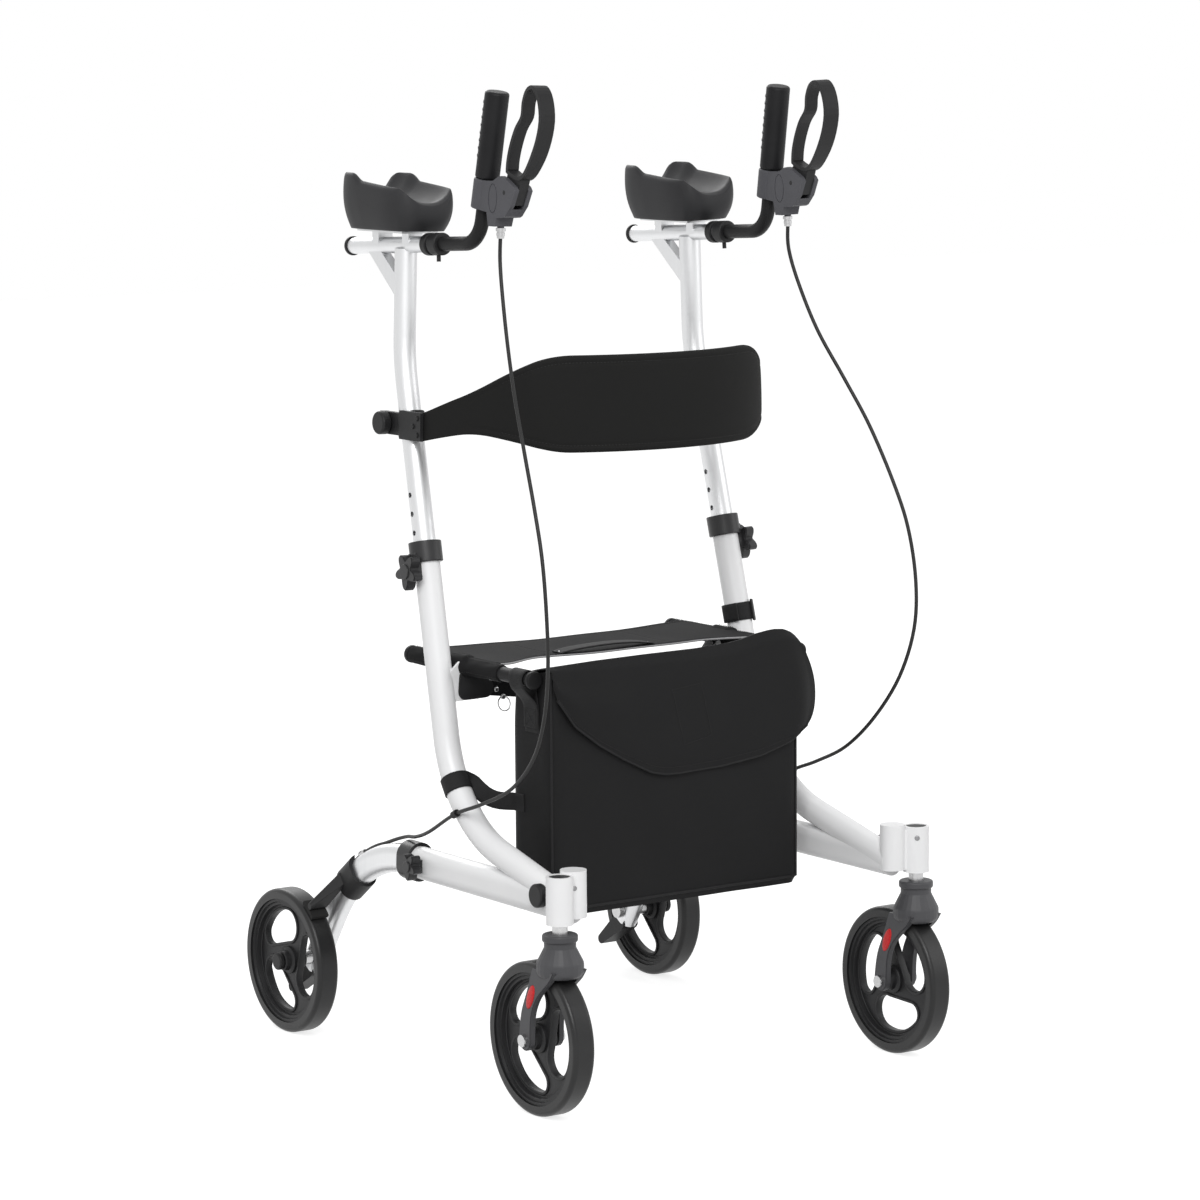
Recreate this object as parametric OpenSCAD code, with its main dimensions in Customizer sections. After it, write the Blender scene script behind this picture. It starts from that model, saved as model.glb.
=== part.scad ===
// Upright walker with forearm supports, side-folding frame, sling seat and bag.
// Millimetres, +Z up. The user walks towards -Y, so the user's left is +X.
// The origin is on the floor, under the middle of the walker.

/* [Side frame] */
// Middle of the walker to a side frame, at rail height
side_x = 258; // [252:1:270]
// Lean of each side frame towards the middle, in degrees
side_tilt = 1.83; // [1:0.01:2.2]
// Lower rail's axis above the bottom of the head tube
rail_lift = 17; // [15:1:24]
// Height of the rail's oval section
rail_h = 44; // [42:1:50]
// Width of the rail's oval section
rail_w = 32; // [30:1:36]
// Wall of the rail
rail_wall = 2; // [1.6:0.1:2.4]
// Rear end of the rail
rail_rear_y = 62; // [55:1:70]
// Front end of the rail, where its end post stands
rail_front_y = -327; // [-332:1:-320]
// Diameter of the rail's end post
end_post_d = 34; // [33:1:38]
// Outer diameter of the white upright
upright_d = 35; // [34:0.5:38]
// Lean of the upright, in degrees
upright_lean = 13.4; // [12.5:0.1:14]
// The upright's axis at its top end, measured along Y
upright_top_y = 36; // [30:1:42]
// The upright's top end above the rail
upright_rise = 425; // [410:1:435]
// Bend radius where the upright turns into the toe
upright_bend_r = 185; // [150:5:200]
// Fall of the toe towards the front, in degrees
toe_slope = 14; // [12:0.5:16]

/* [Height adjustment] */
// Outer diameter of the silver post
post_d = 30; // [28:0.5:31]
// Wall of the post
post_wall = 1.8; // [1.4:0.1:2.4]
// Gap round the post in the upright
slide_fit = 0.08; // [0.05:0.01:0.1]
// Spacing of the height holes
hole_pitch = 25.4; // [20:0.1:26]
// Diameter of the height holes
hole_d = 7.2; // [6.5:0.1:8]
// Height holes above the clamp screw
holes_up = 4; // [3:1:4]
// Height holes below the clamp screw
holes_down = 2; // [1:1:3]
// Clamp screw below the upright's top end, along the tube
screw_drop = 33; // [30:1:36]
// Wall of the plastic collars
collar_wall = 4.5; // [4:0.5:6]
// Length of a collar along its tube
collar_l = 28; // [24:1:32]
// Across the lobes of the height knob
height_knob_d = 50; // [44:1:54]
// Across the lobes of the leg knob
leg_knob_d = 38; // [34:1:42]
// Thickness of a star knob
knob_t = 14; // [12:1:18]
// Diameter of the knob screws
screw_d = 6.6; // [5:0.2:7]

/* [Rear leg] */
// Height of the leg's oval section
leg_h = 39.6; // [37:0.2:39.8]
// Width of the leg's oval section
leg_w = 27.6; // [26:0.2:27.8]
// Wall of the leg
leg_wall = 2.6; // [2.4:0.1:3]
// Bend radius of the leg
leg_bend_r = 230; // [210:5:240]
// Slope of the leg's lower end, in degrees
leg_slope = 57; // [55:0.5:60]
// Length of the leg inside the rail
leg_insert = 92; // [80:1:110]
// Length of the leg past the axle
leg_tail = 18; // [17:1:22]

/* [Wheels] */
// Diameter of every wheel
wheel_d = 200; // [190:1:204]
// Width of the tyre
tyre_w = 32; // [28:1:34]
// Thickness of the tyre
tyre_t = 14; // [12:1:18]
// Length of the hub along the axle
hub_w = 34; // [30:1:35]
// Diameter of the hub's boss
boss_d = 38; // [34:1:44]
// Diameter of the axles
axle_d = 12; // [10:0.5:13]
// Running gap round axles, pins and stems
run_fit = 0.05; // [0.03:0.01:0.1]
// Middle of the walker to the middle of a rear wheel
rear_wheel_x = 306; // [303:1:312]
// The rear axle, measured along Y
rear_axle_y = 296; // [290:1:300]

/* [Casters] */
// Middle of the walker to a caster stem
caster_x = 288; // [286:1:296]
// The caster stem, measured along Y
caster_y = -340; // [-345:1:-336]
// Wheel axle behind the stem
trail = 44; // [38:1:48]
// Diameter of the head tube
head_d = 35; // [33:1:38]
// Length of the head tube
head_l = 62; // [56:1:66]
// Bare stem between the fork and the head tube
stem_show = 12; // [10:1:15]
// Diameter of the caster stem
stem_d = 14; // [12:0.5:16]
// Top of the fork above the tyre
fork_rise = 43; // [40:1:45]
// Diameter of the bearing cover on the fork
cover_d = 46; // [44:1:50]
// Thickness of a fork leg
fork_leg_t = 8; // [7:0.5:10]

/* [Arm] */
// The post's top above the rail
post_rise = 812; // [800:1:816]
// Bend radius near the post's top
post_bend_r = 250; // [200:10:300]
// The vertical stretch of the post, measured along Y
post_top_y = 94; // [90:1:97]
// Diameter of the forearm tube
arm_d = 22; // [21.5:0.5:25]
// Rear end of the forearm tube
arm_rear_y = 225; // [215:1:235]
// Front end of the forearm tube
arm_front_y = 14; // [8:1:20]
// Rise of the forearm tube towards the front, in degrees
arm_rise = 3; // [2:0.1:4]
// Top of the plate under the forearm pad, above the post's top
plate_rise = 28; // [27:0.5:31]
// Width of the forearm pad
pad_w = 100; // [90:1:110]
// Length of the forearm pad
pad_l = 166; // [150:1:180]
// Middle of the forearm pad, measured along Y
pad_y = 116; // [112:1:120]
// Height of the pad's rear walls
pad_h = 78; // [70:1:84]

/* [Handle] */
// Diameter of the handle bar
bar_d = 19; // [18:0.1:19.2]
// Wall of the handle bar
bar_wall = 2.2; // [1.6:0.1:3]
// Bend radius of the handle bar
bar_bend_r = 40; // [36:1:44]
// Forward lean of the handle, in degrees
bar_lean = 10.5; // [9:0.5:12]
// Where the lines of the bar's two legs cross, measured along Y
bar_corner_y = -84; // [-88:1:-80]
// Length of the bar inside the forearm tube
bar_insert = 110; // [100:1:120]
// Diameter of the grip
grip_d = 32; // [30:0.5:35]
// Length of the grip
grip_l = 114; // [105:1:118]
// Foot of the grip above the bar's corner, along the bar
grip_foot = 85; // [84:1:90]
// Thickness of the brake housing
housing_t = 27; // [26:1:32]
// Width of the brake lever's band
lever_w = 22; // [20:1:24]
// Thickness of the brake lever's band
lever_t = 5; // [4:0.25:5.5]
// Diameter of the lever's pivot
lever_pin_d = 6; // [5:0.5:7]

/* [Brake] */
// Diameter of the brake cable
cable_d = 5; // [4:0.25:5.5]
// Gap between the brake shoe and the tyre
shoe_gap = 2.6; // [2.4:0.1:4]
// Thickness of the brake shoe
shoe_t = 6; // [5:0.5:8]
// Width of the brake shoe
shoe_w = 26; // [22:1:30]
// Place of the shoe round the wheel, in degrees
shoe_angle = 129; // [127:0.5:130]

/* [Seat and brace] */
// Middle of the walker to a seat rail
seat_rail_x = 215; // [212:1:217]
// The seat rails above the lower rail
seat_rise = 268; // [264:1:272]
// Diameter of the seat rails
seat_rail_d = 19; // [18:0.5:20]
// Front end of the seat rails
seat_front_y = -180; // [-184:1:-172]
// Rear end of the seat rails
seat_rear_y = 122; // [110:1:130]
// Front edge of the seat panel
panel_front_y = -58; // [-70:1:-50]
// Rear edge of the seat panel
panel_rear_y = 90; // [80:1:100]
// Thickness of the seat cloth
cloth_t = 2.5; // [2:0.1:3]
// Sag of the seat at the middle
seat_sag = 5; // [2:0.5:10]
// Middle of the walker to a brace pivot
pivot_x = 188; // [184:1:190]
// The brace pivots above the lower rail
pivot_rise = 236; // [232:1:238]
// The brace's middle plane, measured along Y
brace_y = -6; // [-8:1:0]
// Dip of the brace links when the walker is open, in degrees
link_dip = 8; // [5:0.5:9]
// Height of a brace link
link_h = 20; // [18:1:22]
// Thickness of a brace link
link_t = 9; // [7:0.5:10]
// Diameter of the brace pins
pin_d = 8; // [7:0.5:9]

/* [Backrest] */
// The backrest clamps above the lower rail
clamp_rise = 584; // [578:1:590]
// Height of the clamp's strap
clamp_h = 33; // [30:1:36]
// Reach of the backrest forward of its ends
band_reach = 216; // [205:1:225]
// Height of the backrest pad at the middle
band_h = 124; // [110:1:130]
// Height of the backrest's ends
band_end_h = 37; // [34:1:40]
// Thickness of the backrest pad
band_t = 14; // [10:1:16]

/* [Bag] */
// Side of the bag to the seat rail
bag_side_gap = 3.5; // [2:0.5:10]
// Front of the bag, measured along Y
bag_front_y = -195; // [-200:1:-190]
// Back of the bag, measured along Y
bag_back_y = -102; // [-106:1:-96]
// Bottom of the bag below the lower rail
bag_drop = 46; // [32:1:52]
// Top of the bag above the seat rails
bag_rise = 4; // [0:1:10]
// Thickness of the flap's fold
flap_t = 12; // [8:1:14]
// Wall of the bag
bag_wall = 4; // [3:0.5:5]

/* [Hidden] */
SIDE_NODES = [
    "side_frame", "height_collar", "height_knob", "leg_collar", "leg_knob", "rear_leg", "seat_rail",
    "frame_plugs", "tip_pedal", "rear_axle", "rear_tyre", "rear_hub", "brake_bracket", "brake_shoe",
    "brake_cable", "caster_fork", "caster_bolts", "front_tyre", "front_hub", "post", "forearm_pad",
    "bar_clamp", "backrest_clamp", "handle_bar", "grip", "brake_housing", "brake_lever"
];
$fn = 48;
hull_fn = 28;
// Gap that keeps neighbours on different bodies apart
part_gap = 0.3;
// A cut that runs past a face by this much
past = 1;
// The straight after a bend starts this far inside it, and is drawn thinner by this share
bend_lap = 0.5;
bend_draw = 0.997;
frame_white = "whitesmoke";
tube_silver = "silver";
plastic_black = [0.09, 0.09, 0.1];
charcoal = [0.27, 0.27, 0.3];
cloth_black = [0.05, 0.05, 0.055];

// Heights above the floor: each hangs on the wheel's size, through the fork, head tube and rail
fork_top_z = wheel_d + fork_rise;
head_z0 = fork_top_z + stem_show;
head_z1 = head_z0 + head_l;
rail_z = head_z0 + rail_lift;
upright_top_z = rail_z + upright_rise;
post_top_z = rail_z + post_rise;
plate_z = post_top_z + plate_rise;
seat_rail_z = rail_z + seat_rise;
pivot_z = rail_z + pivot_rise;
clamp_z = rail_z + clamp_rise;
bag_z0 = rail_z - bag_drop;
bag_z1 = seat_rail_z + bag_rise;
bag_w = 2 * (seat_rail_x - seat_rail_d / 2 - bag_side_gap);

// Height above the rail, in the side frame's plane, of a height above the floor
function up(z) = (z - rail_z) / cos(side_tilt);
// Distance from the middle of the side frame's plane at a height above the floor
function plane_x(z) = side_x - (z - rail_z) * tan(side_tilt);
function toward(a, b) = (b - a) / norm(b - a);
// The upright's axis, measured along Y, at a height in the plane
function upright_y(h) = upright_top_y + (h - up(upright_top_z)) * tan(upright_lean);

// Points in the side frame's plane are [y, height above the rail]
upright_top = [upright_top_y, up(upright_top_z)];
upright_dir = [sin(upright_lean), cos(upright_lean)];
toe_end = [rail_front_y, 0];
toe_corner_y = (upright_top_y - (rail_front_y * tan(toe_slope) + up(upright_top_z)) * tan(upright_lean))
    / (1 - tan(toe_slope) * tan(upright_lean));
toe_corner = [toe_corner_y, (toe_corner_y - rail_front_y) * tan(toe_slope)];
bore_d = post_d + 2 * slide_fit;
screw_at = upright_top - screw_drop * upright_dir;
post_foot = screw_at - (holes_down * hole_pitch + 40) * upright_dir;
post_corner = [post_top_y, up(upright_top_z) + (post_top_y - upright_top_y) / tan(upright_lean)];
post_top = [post_top_y, up(post_top_z)];

axle_z = wheel_d / 2;
axle_h = up(axle_z);
leg_corner = [rear_axle_y + axle_h / tan(leg_slope), 0];
leg_dir = [cos(leg_slope), -sin(leg_slope)];
leg_start = [rail_rear_y - leg_insert, 0];
leg_end = [rear_axle_y, axle_h] + leg_tail * leg_dir;
leg_x = plane_x(axle_z);
leg_screw_at = [rail_rear_y - 47, 0];
leg_turn_cut = leg_bend_r * tan(leg_slope / 2);
leg_arc_y = leg_corner[0] - leg_turn_cut;
// A point on the leg's bend, a distance above its axis, at a turn from its start
function leg_bend_point(turn, above) =
    [leg_arc_y + (leg_bend_r + above) * sin(turn), (leg_bend_r + above) * cos(turn) - leg_bend_r];

front_axle_y = caster_y + trail;
fork_gap = tyre_w / 2 + 2.5;
fork_half = fork_gap + fork_leg_t;
crown_z = wheel_d + 4;

arm_dir = [-cos(arm_rise), sin(arm_rise)];
// The forearm tube's axis over the post: the tube rests on the post's end
arm_mid = post_top + [0, arm_d / 2 - 2];
function arm_point(y) = arm_mid + arm_dir * (post_top_y - y) / cos(arm_rise);
arm_bore_d = bar_d + 2 * slide_fit;
strut_reach = 92;
strut_drop = 66;
strut_w = 30;
plate_w = 56;
plate_l = 112;

bar_corner = arm_point(bar_corner_y);
bar_dir = [-sin(bar_lean), cos(bar_lean)];
bar_start = arm_point(arm_front_y) - bar_insert * arm_dir;
bar_end = bar_corner + (grip_foot + grip_l - 6) * bar_dir;
grip_base = bar_corner + grip_foot * bar_dir;
// The housing's outline hangs on the foot of the grip: [forward, up] from it
housing_points = [
    [4, -40], [4, -2], [33, -2], [46, 4], [53, 5], [60, 3], [82, -8], [86, -13], [76, -33], [63, -46],
    [58, -48], [43, -49], [39, -60], [24, -60], [20, -42]
];
function from_grip(p) = grip_base + [-p[0], p[1]];
lever_pivot = from_grip([60, -16]);
lever_slot = lever_w - 8;
// The lever's half width, as a share, at a distance forward of the grip: it is narrower at the back
lever_plan = [[40, 0.39], [85, 0.39], [118, 0.5], [150, 0.5]];
// The loop's middle line, [forward, up] from the foot of the grip, read upwards at the back
loop_points = [
    [58, 11], [60, 27], [66.5, 46], [76.5, 65], [90, 81], [93, 99], [102, 114], [117, 118],
    [130, 104], [135, 76], [125, 44], [105, 15], [89, 3], [72, 5]
];
adjuster_at = from_grip([33.5, -57]);
adjuster_l = 18;

shoe_dir = [cos(shoe_angle), sin(shoe_angle)];
shoe_r = wheel_d / 2 + shoe_gap;
shoe_span = 16;
bracket_turn = 37;
bracket_l = 40;
bracket_wall = 5;
// The cable ends in the bracket, this far round the leg's bend
cable_end_turn = 31;
// The groove on top of the leg is half as deep as the cable is round
cable_in_groove = leg_h / 2 + cable_d / 4;
// The cable's height over the leg collar
cable_over = rail_h / 2 + collar_wall + cable_d / 2 + part_gap;

link_l = pivot_x / cos(link_dip);
knee_z = pivot_z - pivot_x * tan(link_dip);
cheek_t = 4;
link_gap = 0.2;
cheek_y = link_t + link_gap + part_gap;
sleeve_d = seat_rail_d + 2 * (part_gap + cloth_t);

clamp_at = [upright_y(up(clamp_z)), up(clamp_z)];
clamp_wall = 4;
rivet_plate_t = 5;
rivet_plate_out = post_d / 2 + clamp_wall + 0.5;
strap_t = 3;
strap_tail = 24;
band_lift = 36;
band_end_x = plane_x(clamp_z) + rivet_plate_out - rivet_plate_t - part_gap - strap_t;
band_mid_y = clamp_at[0] - 44;

// The cable's free stretch: [distance from the middle, y, height above the rail], chosen by hand
cable_free = [
    [238, -147, 763], [249, -175, 700], [264, -213, 638], [277, -252, 576], [287, -290, 504],
    [293, -315, 443], [296, -328, 373], [294, -327, 308], [286, -306, 242], [276, -265, 183],
    [272, -208, 136], [274, -140, 106]
];
clip_at = [toe_corner[0] - 32, toe_corner[1] + 15];
clip_out = upright_d / 2 + cable_d / 2 + 1.5;
clip_run = toward(clip_at, [leg_arc_y, leg_h / 2]);
// A place in the side frame's plane, and some way outboard of it, in the walker's own axes
function in_world(u, p) = [
    side_x + u * cos(side_tilt) - p[1] * sin(side_tilt), p[0],
    rail_z + u * sin(side_tilt) + p[1] * cos(side_tilt)
];
// The cable's way: adjuster, free stretch, clip, then down into the leg's groove
cable_path = concat(
    [for (d = [adjuster_l - 4, 48]) in_world(0, adjuster_at - [0, d])],
    [for (p = cable_free) p + [0, 0, rail_z]],
    [in_world(clip_out, clip_at), in_world(clip_out - 6, [-10, 50]),
     in_world(7, [rail_rear_y - 26, cable_over + 6]), in_world(1, [rail_rear_y + 5, cable_over + 1]),
     in_world(0, leg_bend_point(8, cable_in_groove + 4))],
    [for (turn = [15:4:cable_end_turn]) in_world(0, leg_bend_point(turn, cable_in_groove))]
);

// One side's own frame of axes: the plane of its tubes, leaning to the middle
module in_plane() {
    translate([side_x, 0, rail_z]) rotate([0, -side_tilt, 0]) children();
}

// The left side is drawn as it stands, the right side is its mirror image
module side(s) {
    if (s == "left_") children();
    if (s == "right_") mirror([1, 0, 0]) children();
}

// A frame on a run in the plane: x across the run and up, y outboard, z along it
module along(p, t) {
    multmatrix([[0, 1, 0, 0], [-t[1], 0, t[0], p[0]], [t[0], 0, t[1], p[1]]]) children();
}

module straight_run(a, b) {
    along(a, toward(a, b)) linear_extrude(norm(b - a)) children();
}

// A run from a round the corner b to c, on a bend of radius r: the section's x points off the bend's centre
module bent_run(a, b, c, r) {
    t1 = toward(a, b);
    t2 = toward(b, c);
    turn = acos(t1 * t2);
    cut = r * tan(turn / 2);
    bend = sign(t1[0] * t2[1] - t1[1] * t2[0]);
    e = -bend * [-t1[1], t1[0]];
    centre = b - cut * t1 - r * e;
    multmatrix([[0, 0, e[0] * t1[1] - e[1] * t1[0], 0], [e[0], t1[0], 0, centre[0]],
                [e[1], t1[1], 0, centre[1]]]) {
        translate([r, 0, 0]) rotate([90, 0, 0]) linear_extrude(norm(b - a) - cut) children();
        rotate_extrude(angle = turn) translate([r, 0]) children();
        rotate(turn) translate([r, -bend_lap, 0]) rotate([-90, 0, 0])
            linear_extrude(norm(c - b) - cut + bend_lap) scale(bend_draw) children();
    }
}

module oval(long, wide) {
    square([long - wide, wide], center = true);
    for (s = [-1, 1]) translate([s * (long - wide) / 2, 0]) circle(d = wide);
}

// A cylinder along X, from x0 to x1
module x_rod(x0, x1, y, z, d) {
    translate([x0, y, z]) rotate([0, 90, 0]) cylinder(h = x1 - x0, d = d);
}

// A cylinder along Y, from y0 to y1
module y_rod(x, y0, y1, z, d) {
    translate([x, y0, z]) rotate([-90, 0, 0]) cylinder(h = y1 - y0, d = d);
}

// A disc with rounded rims, from z = 0 to t
module soft_disc(d, t, r) {
    rotate_extrude() {
        square([d / 2 - r, t]);
        translate([0, r]) square([d / 2, t - 2 * r]);
        for (z = [r, t - r]) translate([d / 2 - r, z]) circle(r = r);
    }
}

// A closed solid through rings of points, all of one count, with flat ends
module loft(rings) {
    n = len(rings[0]);
    m = len(rings);
    sides = [for (i = [0:m - 2]) for (k = [0:n - 1]) each [
        [i * n + k, (i + 1) * n + (k + 1) % n, i * n + (k + 1) % n],
        [i * n + k, (i + 1) * n + k, (i + 1) * n + (k + 1) % n]
    ]];
    first = [for (k = [1:n - 2]) [0, k, k + 1]];
    last = [for (k = [1:n - 2]) [(m - 1) * n, (m - 1) * n + k + 1, (m - 1) * n + k]];
    polyhedron([for (r = rings) each r], concat(sides, first, last), convexity = 6);
}

// A smooth curve through points, some steps to each gap
function curve_at(p0, p1, p2, p3, t) =
    0.5 * (2 * p1 + (p2 - p0) * t + (2 * p0 - 5 * p1 + 4 * p2 - p3) * t ^ 2
        + (3 * p1 - p0 - 3 * p2 + p3) * t ^ 3);
function smooth(points, steps) = let (n = len(points)) [
    for (i = [0:n - 2]) for (k = [0:steps - 1])
        curve_at(points[max(i - 1, 0)], points[i], points[i + 1], points[min(i + 2, n - 1)], k / steps),
    points[n - 1]
];

// A round tube swept along a path, with its sides kept level with the outboard direction
module swept_tube(path, d, sides) {
    n = len(path);
    rings = [for (i = [0:n - 1]) let (
        t = toward3(path[max(i - 1, 0)], path[min(i + 1, n - 1)]),
        a = toward3([0, 0, 0], cross(t, [1, 0, 0])),
        b = cross(t, a)
    ) [for (k = [0:sides - 1]) path[i] + d / 2 * (a * cos(k * 360 / sides) + b * sin(k * 360 / sides))]];
    loft(rings);
}
function toward3(a, b) = (b - a) / norm(b - a);

module star(d) polygon([for (a = [0:6:354]) d / 2 * (0.77 + 0.23 * cos(5 * a)) * [cos(a), sin(a)]]);

// A knob with five lobes, from z = 0 to knob_t, with its screw reaching down
module star_knob(d, screw_l) {
    bevel = 1.4;
    translate([0, 0, bevel]) linear_extrude(knob_t - 2 * bevel) star(d);
    linear_extrude(knob_t) star(d - 2 * bevel);
    translate([0, 0, knob_t - past]) soft_disc(d * 0.4, 3, past);
    translate([0, 0, -screw_l]) cylinder(h = screw_l + past, d = screw_d);
}

module upright_outside() bent_run(upright_top, toe_corner, toe_end, upright_bend_r) circle(d = upright_d);

module rail_outside() straight_run([rail_rear_y, 0], toe_end) oval(rail_h, rail_w);

module upright_bore()
    bent_run(upright_top + past * upright_dir, toe_corner,
             toe_end + end_post_d * [cos(toe_slope), sin(toe_slope)], upright_bend_r) circle(d = bore_d);

module leg_outside() bent_run(leg_start, leg_corner, leg_end, leg_bend_r) oval(leg_h, leg_w);

// One cheek of the seat bracket, in X and Z: it joins the upright, the seat rail and the brace pivot
module cheek_outline() {
    hull($fn = hull_fn) {
        translate([pivot_x, pivot_z]) circle(d = pin_d + 16);
        translate([plane_x(pivot_z) - 6, pivot_z + 4]) square([6, 36], center = true);
        translate([seat_rail_x, seat_rail_z]) circle(d = seat_rail_d + 8);
    }
}

module side_frame(s) color(frame_white) side(s) difference() {
    union() {
        in_plane() {
            upright_outside();
            rail_outside();
        }
        translate([side_x, rail_front_y, head_z0 + 4]) cylinder(h = head_z1 - head_z0 - 1, d = end_post_d);
        translate([caster_x, caster_y, head_z0]) cylinder(h = head_z1 - head_z0, d = head_d);
        head_web();
        for (side = [-1, 1]) translate([0, brace_y + side * (cheek_y + cheek_t / 2) + cheek_t / 2, 0])
            rotate([90, 0, 0]) linear_extrude(cheek_t) cheek_outline();
    }
    in_plane() {
        upright_bore();
        straight_run([rail_rear_y + past, 0], toe_end + [end_post_d, 0])
            oval(rail_h - 2 * rail_wall, rail_w - 2 * rail_wall);
        knob_hole(screw_at);
        knob_hole(leg_screw_at);
    }
    translate([caster_x, caster_y, head_z0 - past])
        cylinder(h = head_z1 - head_z0 - 6, d = stem_d + 2 * run_fit);
    translate([caster_x, caster_y, head_z1 - 3]) cylinder(h = 4, d = head_d - 7.6);
    y_rod(seat_rail_x, brace_y - 30, brace_y + 30, seat_rail_z, seat_rail_d);
    y_rod(pivot_x, brace_y - 30, brace_y + 30, pivot_z, pin_d + 2 * run_fit);
}

// The plate that joins the rail's end post to the head tube
module head_web() {
    a = [side_x, rail_front_y];
    b = [caster_x, caster_y];
    translate([a[0], a[1], head_z0 + 4]) rotate(atan2(b[1] - a[1], b[0] - a[0]))
        translate([0, -head_d / 4, 0]) cube([norm(b - a), head_d / 2, head_z1 - head_z0 - 8]);
}

// The way of a knob's screw, out through the outboard wall at a point of the plane
module knob_hole(p) {
    translate([0, p[0], p[1]]) rotate([0, 90, 0]) cylinder(h = rail_h, d = screw_d + 2 * run_fit);
}

module height_collar(s) color(plastic_black) side(s) in_plane() difference() {
    union() {
        along(upright_top - (collar_l - 6) * upright_dir, upright_dir)
            soft_disc(upright_d + 2 * collar_wall, collar_l, 1.5);
        along(screw_at - 9 * upright_dir, upright_dir) translate([-9, 0, 0])
            cube([18, upright_d / 2 + collar_wall, screw_drop]);
    }
    along(upright_top - (collar_l + screw_drop) * upright_dir, upright_dir)
        cylinder(h = collar_l + screw_drop, d = upright_d);
    along(upright_top - past * upright_dir, upright_dir) cylinder(h = 20, d = post_d + 2 * part_gap);
    knob_hole(screw_at);
}

module height_knob(s) color(plastic_black) side(s) in_plane()
    translate([upright_d / 2 + collar_wall + part_gap, screw_at[0], screw_at[1]]) rotate([0, 90, 0])
        star_knob(height_knob_d, upright_d / 2 + collar_wall - post_d / 2);

module leg_collar(s) color(plastic_black) side(s) in_plane() difference() {
    union() {
        straight_run([rail_rear_y - collar_l + 2, 0], [rail_rear_y + 2, 0])
            oval(rail_h + 2 * collar_wall, rail_w + 2 * collar_wall);
        translate([0, leg_screw_at[0] - 9, -9])
            cube([rail_w / 2 + collar_wall, rail_rear_y - leg_screw_at[0] - collar_l + 14, 18]);
    }
    straight_run([leg_screw_at[0] - rail_h, 0], [rail_rear_y, 0]) oval(rail_h, rail_w);
    straight_run([rail_rear_y - past, 0], [rail_rear_y + 20, 0]) oval(leg_h + part_gap, leg_w + part_gap);
    knob_hole(leg_screw_at);
}

module leg_knob(s) color(plastic_black) side(s) in_plane()
    translate([rail_w / 2 + collar_wall + part_gap, leg_screw_at[0], leg_screw_at[1]]) rotate([0, 90, 0])
        star_knob(leg_knob_d, rail_w / 2 + collar_wall - leg_w / 2);

// The leg: an oval tube with the cable's groove along its top, and a boss for the axle
module rear_leg(s) color(tube_silver) side(s) difference() {
    union() {
        in_plane() difference() {
            bent_run(leg_start, leg_corner, leg_end, leg_bend_r) difference() {
                oval(leg_h, leg_w);
                translate([cable_in_groove, 0]) circle(d = cable_d + 1);
            }
            bent_run(leg_start - [past, 0], leg_corner, leg_end + past * leg_dir, leg_bend_r)
                oval(leg_h - 2 * leg_wall, leg_w - 2 * leg_wall);
        }
        x_rod(leg_x - leg_w / 2 + leg_wall / 2, leg_x + leg_w / 2 - leg_wall / 2, rear_axle_y, axle_z,
              axle_d + 12);
    }
    x_rod(leg_x - leg_w, leg_x + leg_w, rear_axle_y, axle_z, axle_d);
}

module seat_rail(s) color(plastic_black) side(s) {
    y_rod(seat_rail_x, seat_front_y, seat_rear_y, seat_rail_z, seat_rail_d);
    for (end = [seat_front_y, seat_rear_y - 8]) translate([seat_rail_x, end, seat_rail_z])
        rotate([-90, 0, 0]) soft_disc(seat_rail_d + 5, 8, 2.5);
}

module frame_plugs(s) color(plastic_black) side(s) {
    translate([caster_x, caster_y, head_z1 - 3]) cylinder(h = 2, d = head_d - 8);
    difference() {
        translate([rear_wheel_x + hub_w / 2 + part_gap, rear_axle_y, axle_z]) rotate([0, 90, 0])
            soft_disc(axle_d + 12, 8, 2.5);
        x_rod(rear_wheel_x, rear_wheel_x + hub_w / 2 + 4, rear_axle_y, axle_z, axle_d);
    }
    in_plane() {
        difference() {
            translate([rail_w / 2 - past, rail_front_y + 49, 8]) rotate([0, 90, 0]) soft_disc(31, 12, 3);
            upright_outside();
            rail_outside();
        }
        cable_clip();
    }
}

// The clip on the outboard face of the upright that holds the brake cable
module cable_clip() {
    difference() {
        along(clip_at - 5 * clip_run, clip_run) {
            translate([0, clip_out, 0]) cylinder(h = 10, d = cable_d + 5);
            translate([-2.5, upright_d / 2 - 8, 0]) cube([5, clip_out - upright_d / 2 + 8, 10]);
        }
        along(clip_at - 6 * clip_run, clip_run) translate([0, clip_out, 0])
            cylinder(h = 12, d = cable_d + 4 * part_gap);
        upright_outside();
    }
}

module tip_pedal(s) color(plastic_black) side(s) difference() {
    hull($fn = hull_fn) {
        x_rod(leg_x - leg_w / 2 + 1, leg_x + leg_w / 2 - 1, rear_axle_y + 8, axle_z - 18, 26);
        x_rod(leg_x - leg_w / 2 + 1, leg_x + leg_w / 2 - 1, rear_axle_y + 54, axle_z - 52, 14);
    }
    in_plane() bent_run(leg_start, leg_corner, leg_end, leg_bend_r) oval(leg_h, leg_w + 4);
    for (k = [1:3]) x_rod(leg_x - leg_w, leg_x + leg_w, rear_axle_y + 20 + 12 * k, axle_z - 11 - 9 * k, 4);
}

module rear_axle(s) color(tube_silver) side(s) {
    x_rod(leg_x - leg_w / 2 - 7, rear_wheel_x + hub_w / 2 + 4, rear_axle_y, axle_z, axle_d);
    x_rod(leg_x - leg_w / 2 - 9, leg_x - leg_w / 2 - 0.5, rear_axle_y, axle_z, axle_d + 9);
    x_rod(leg_x + leg_w / 2 + 0.5, rear_wheel_x - hub_w / 2 - part_gap, rear_axle_y, axle_z, axle_d + 8);
}

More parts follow.
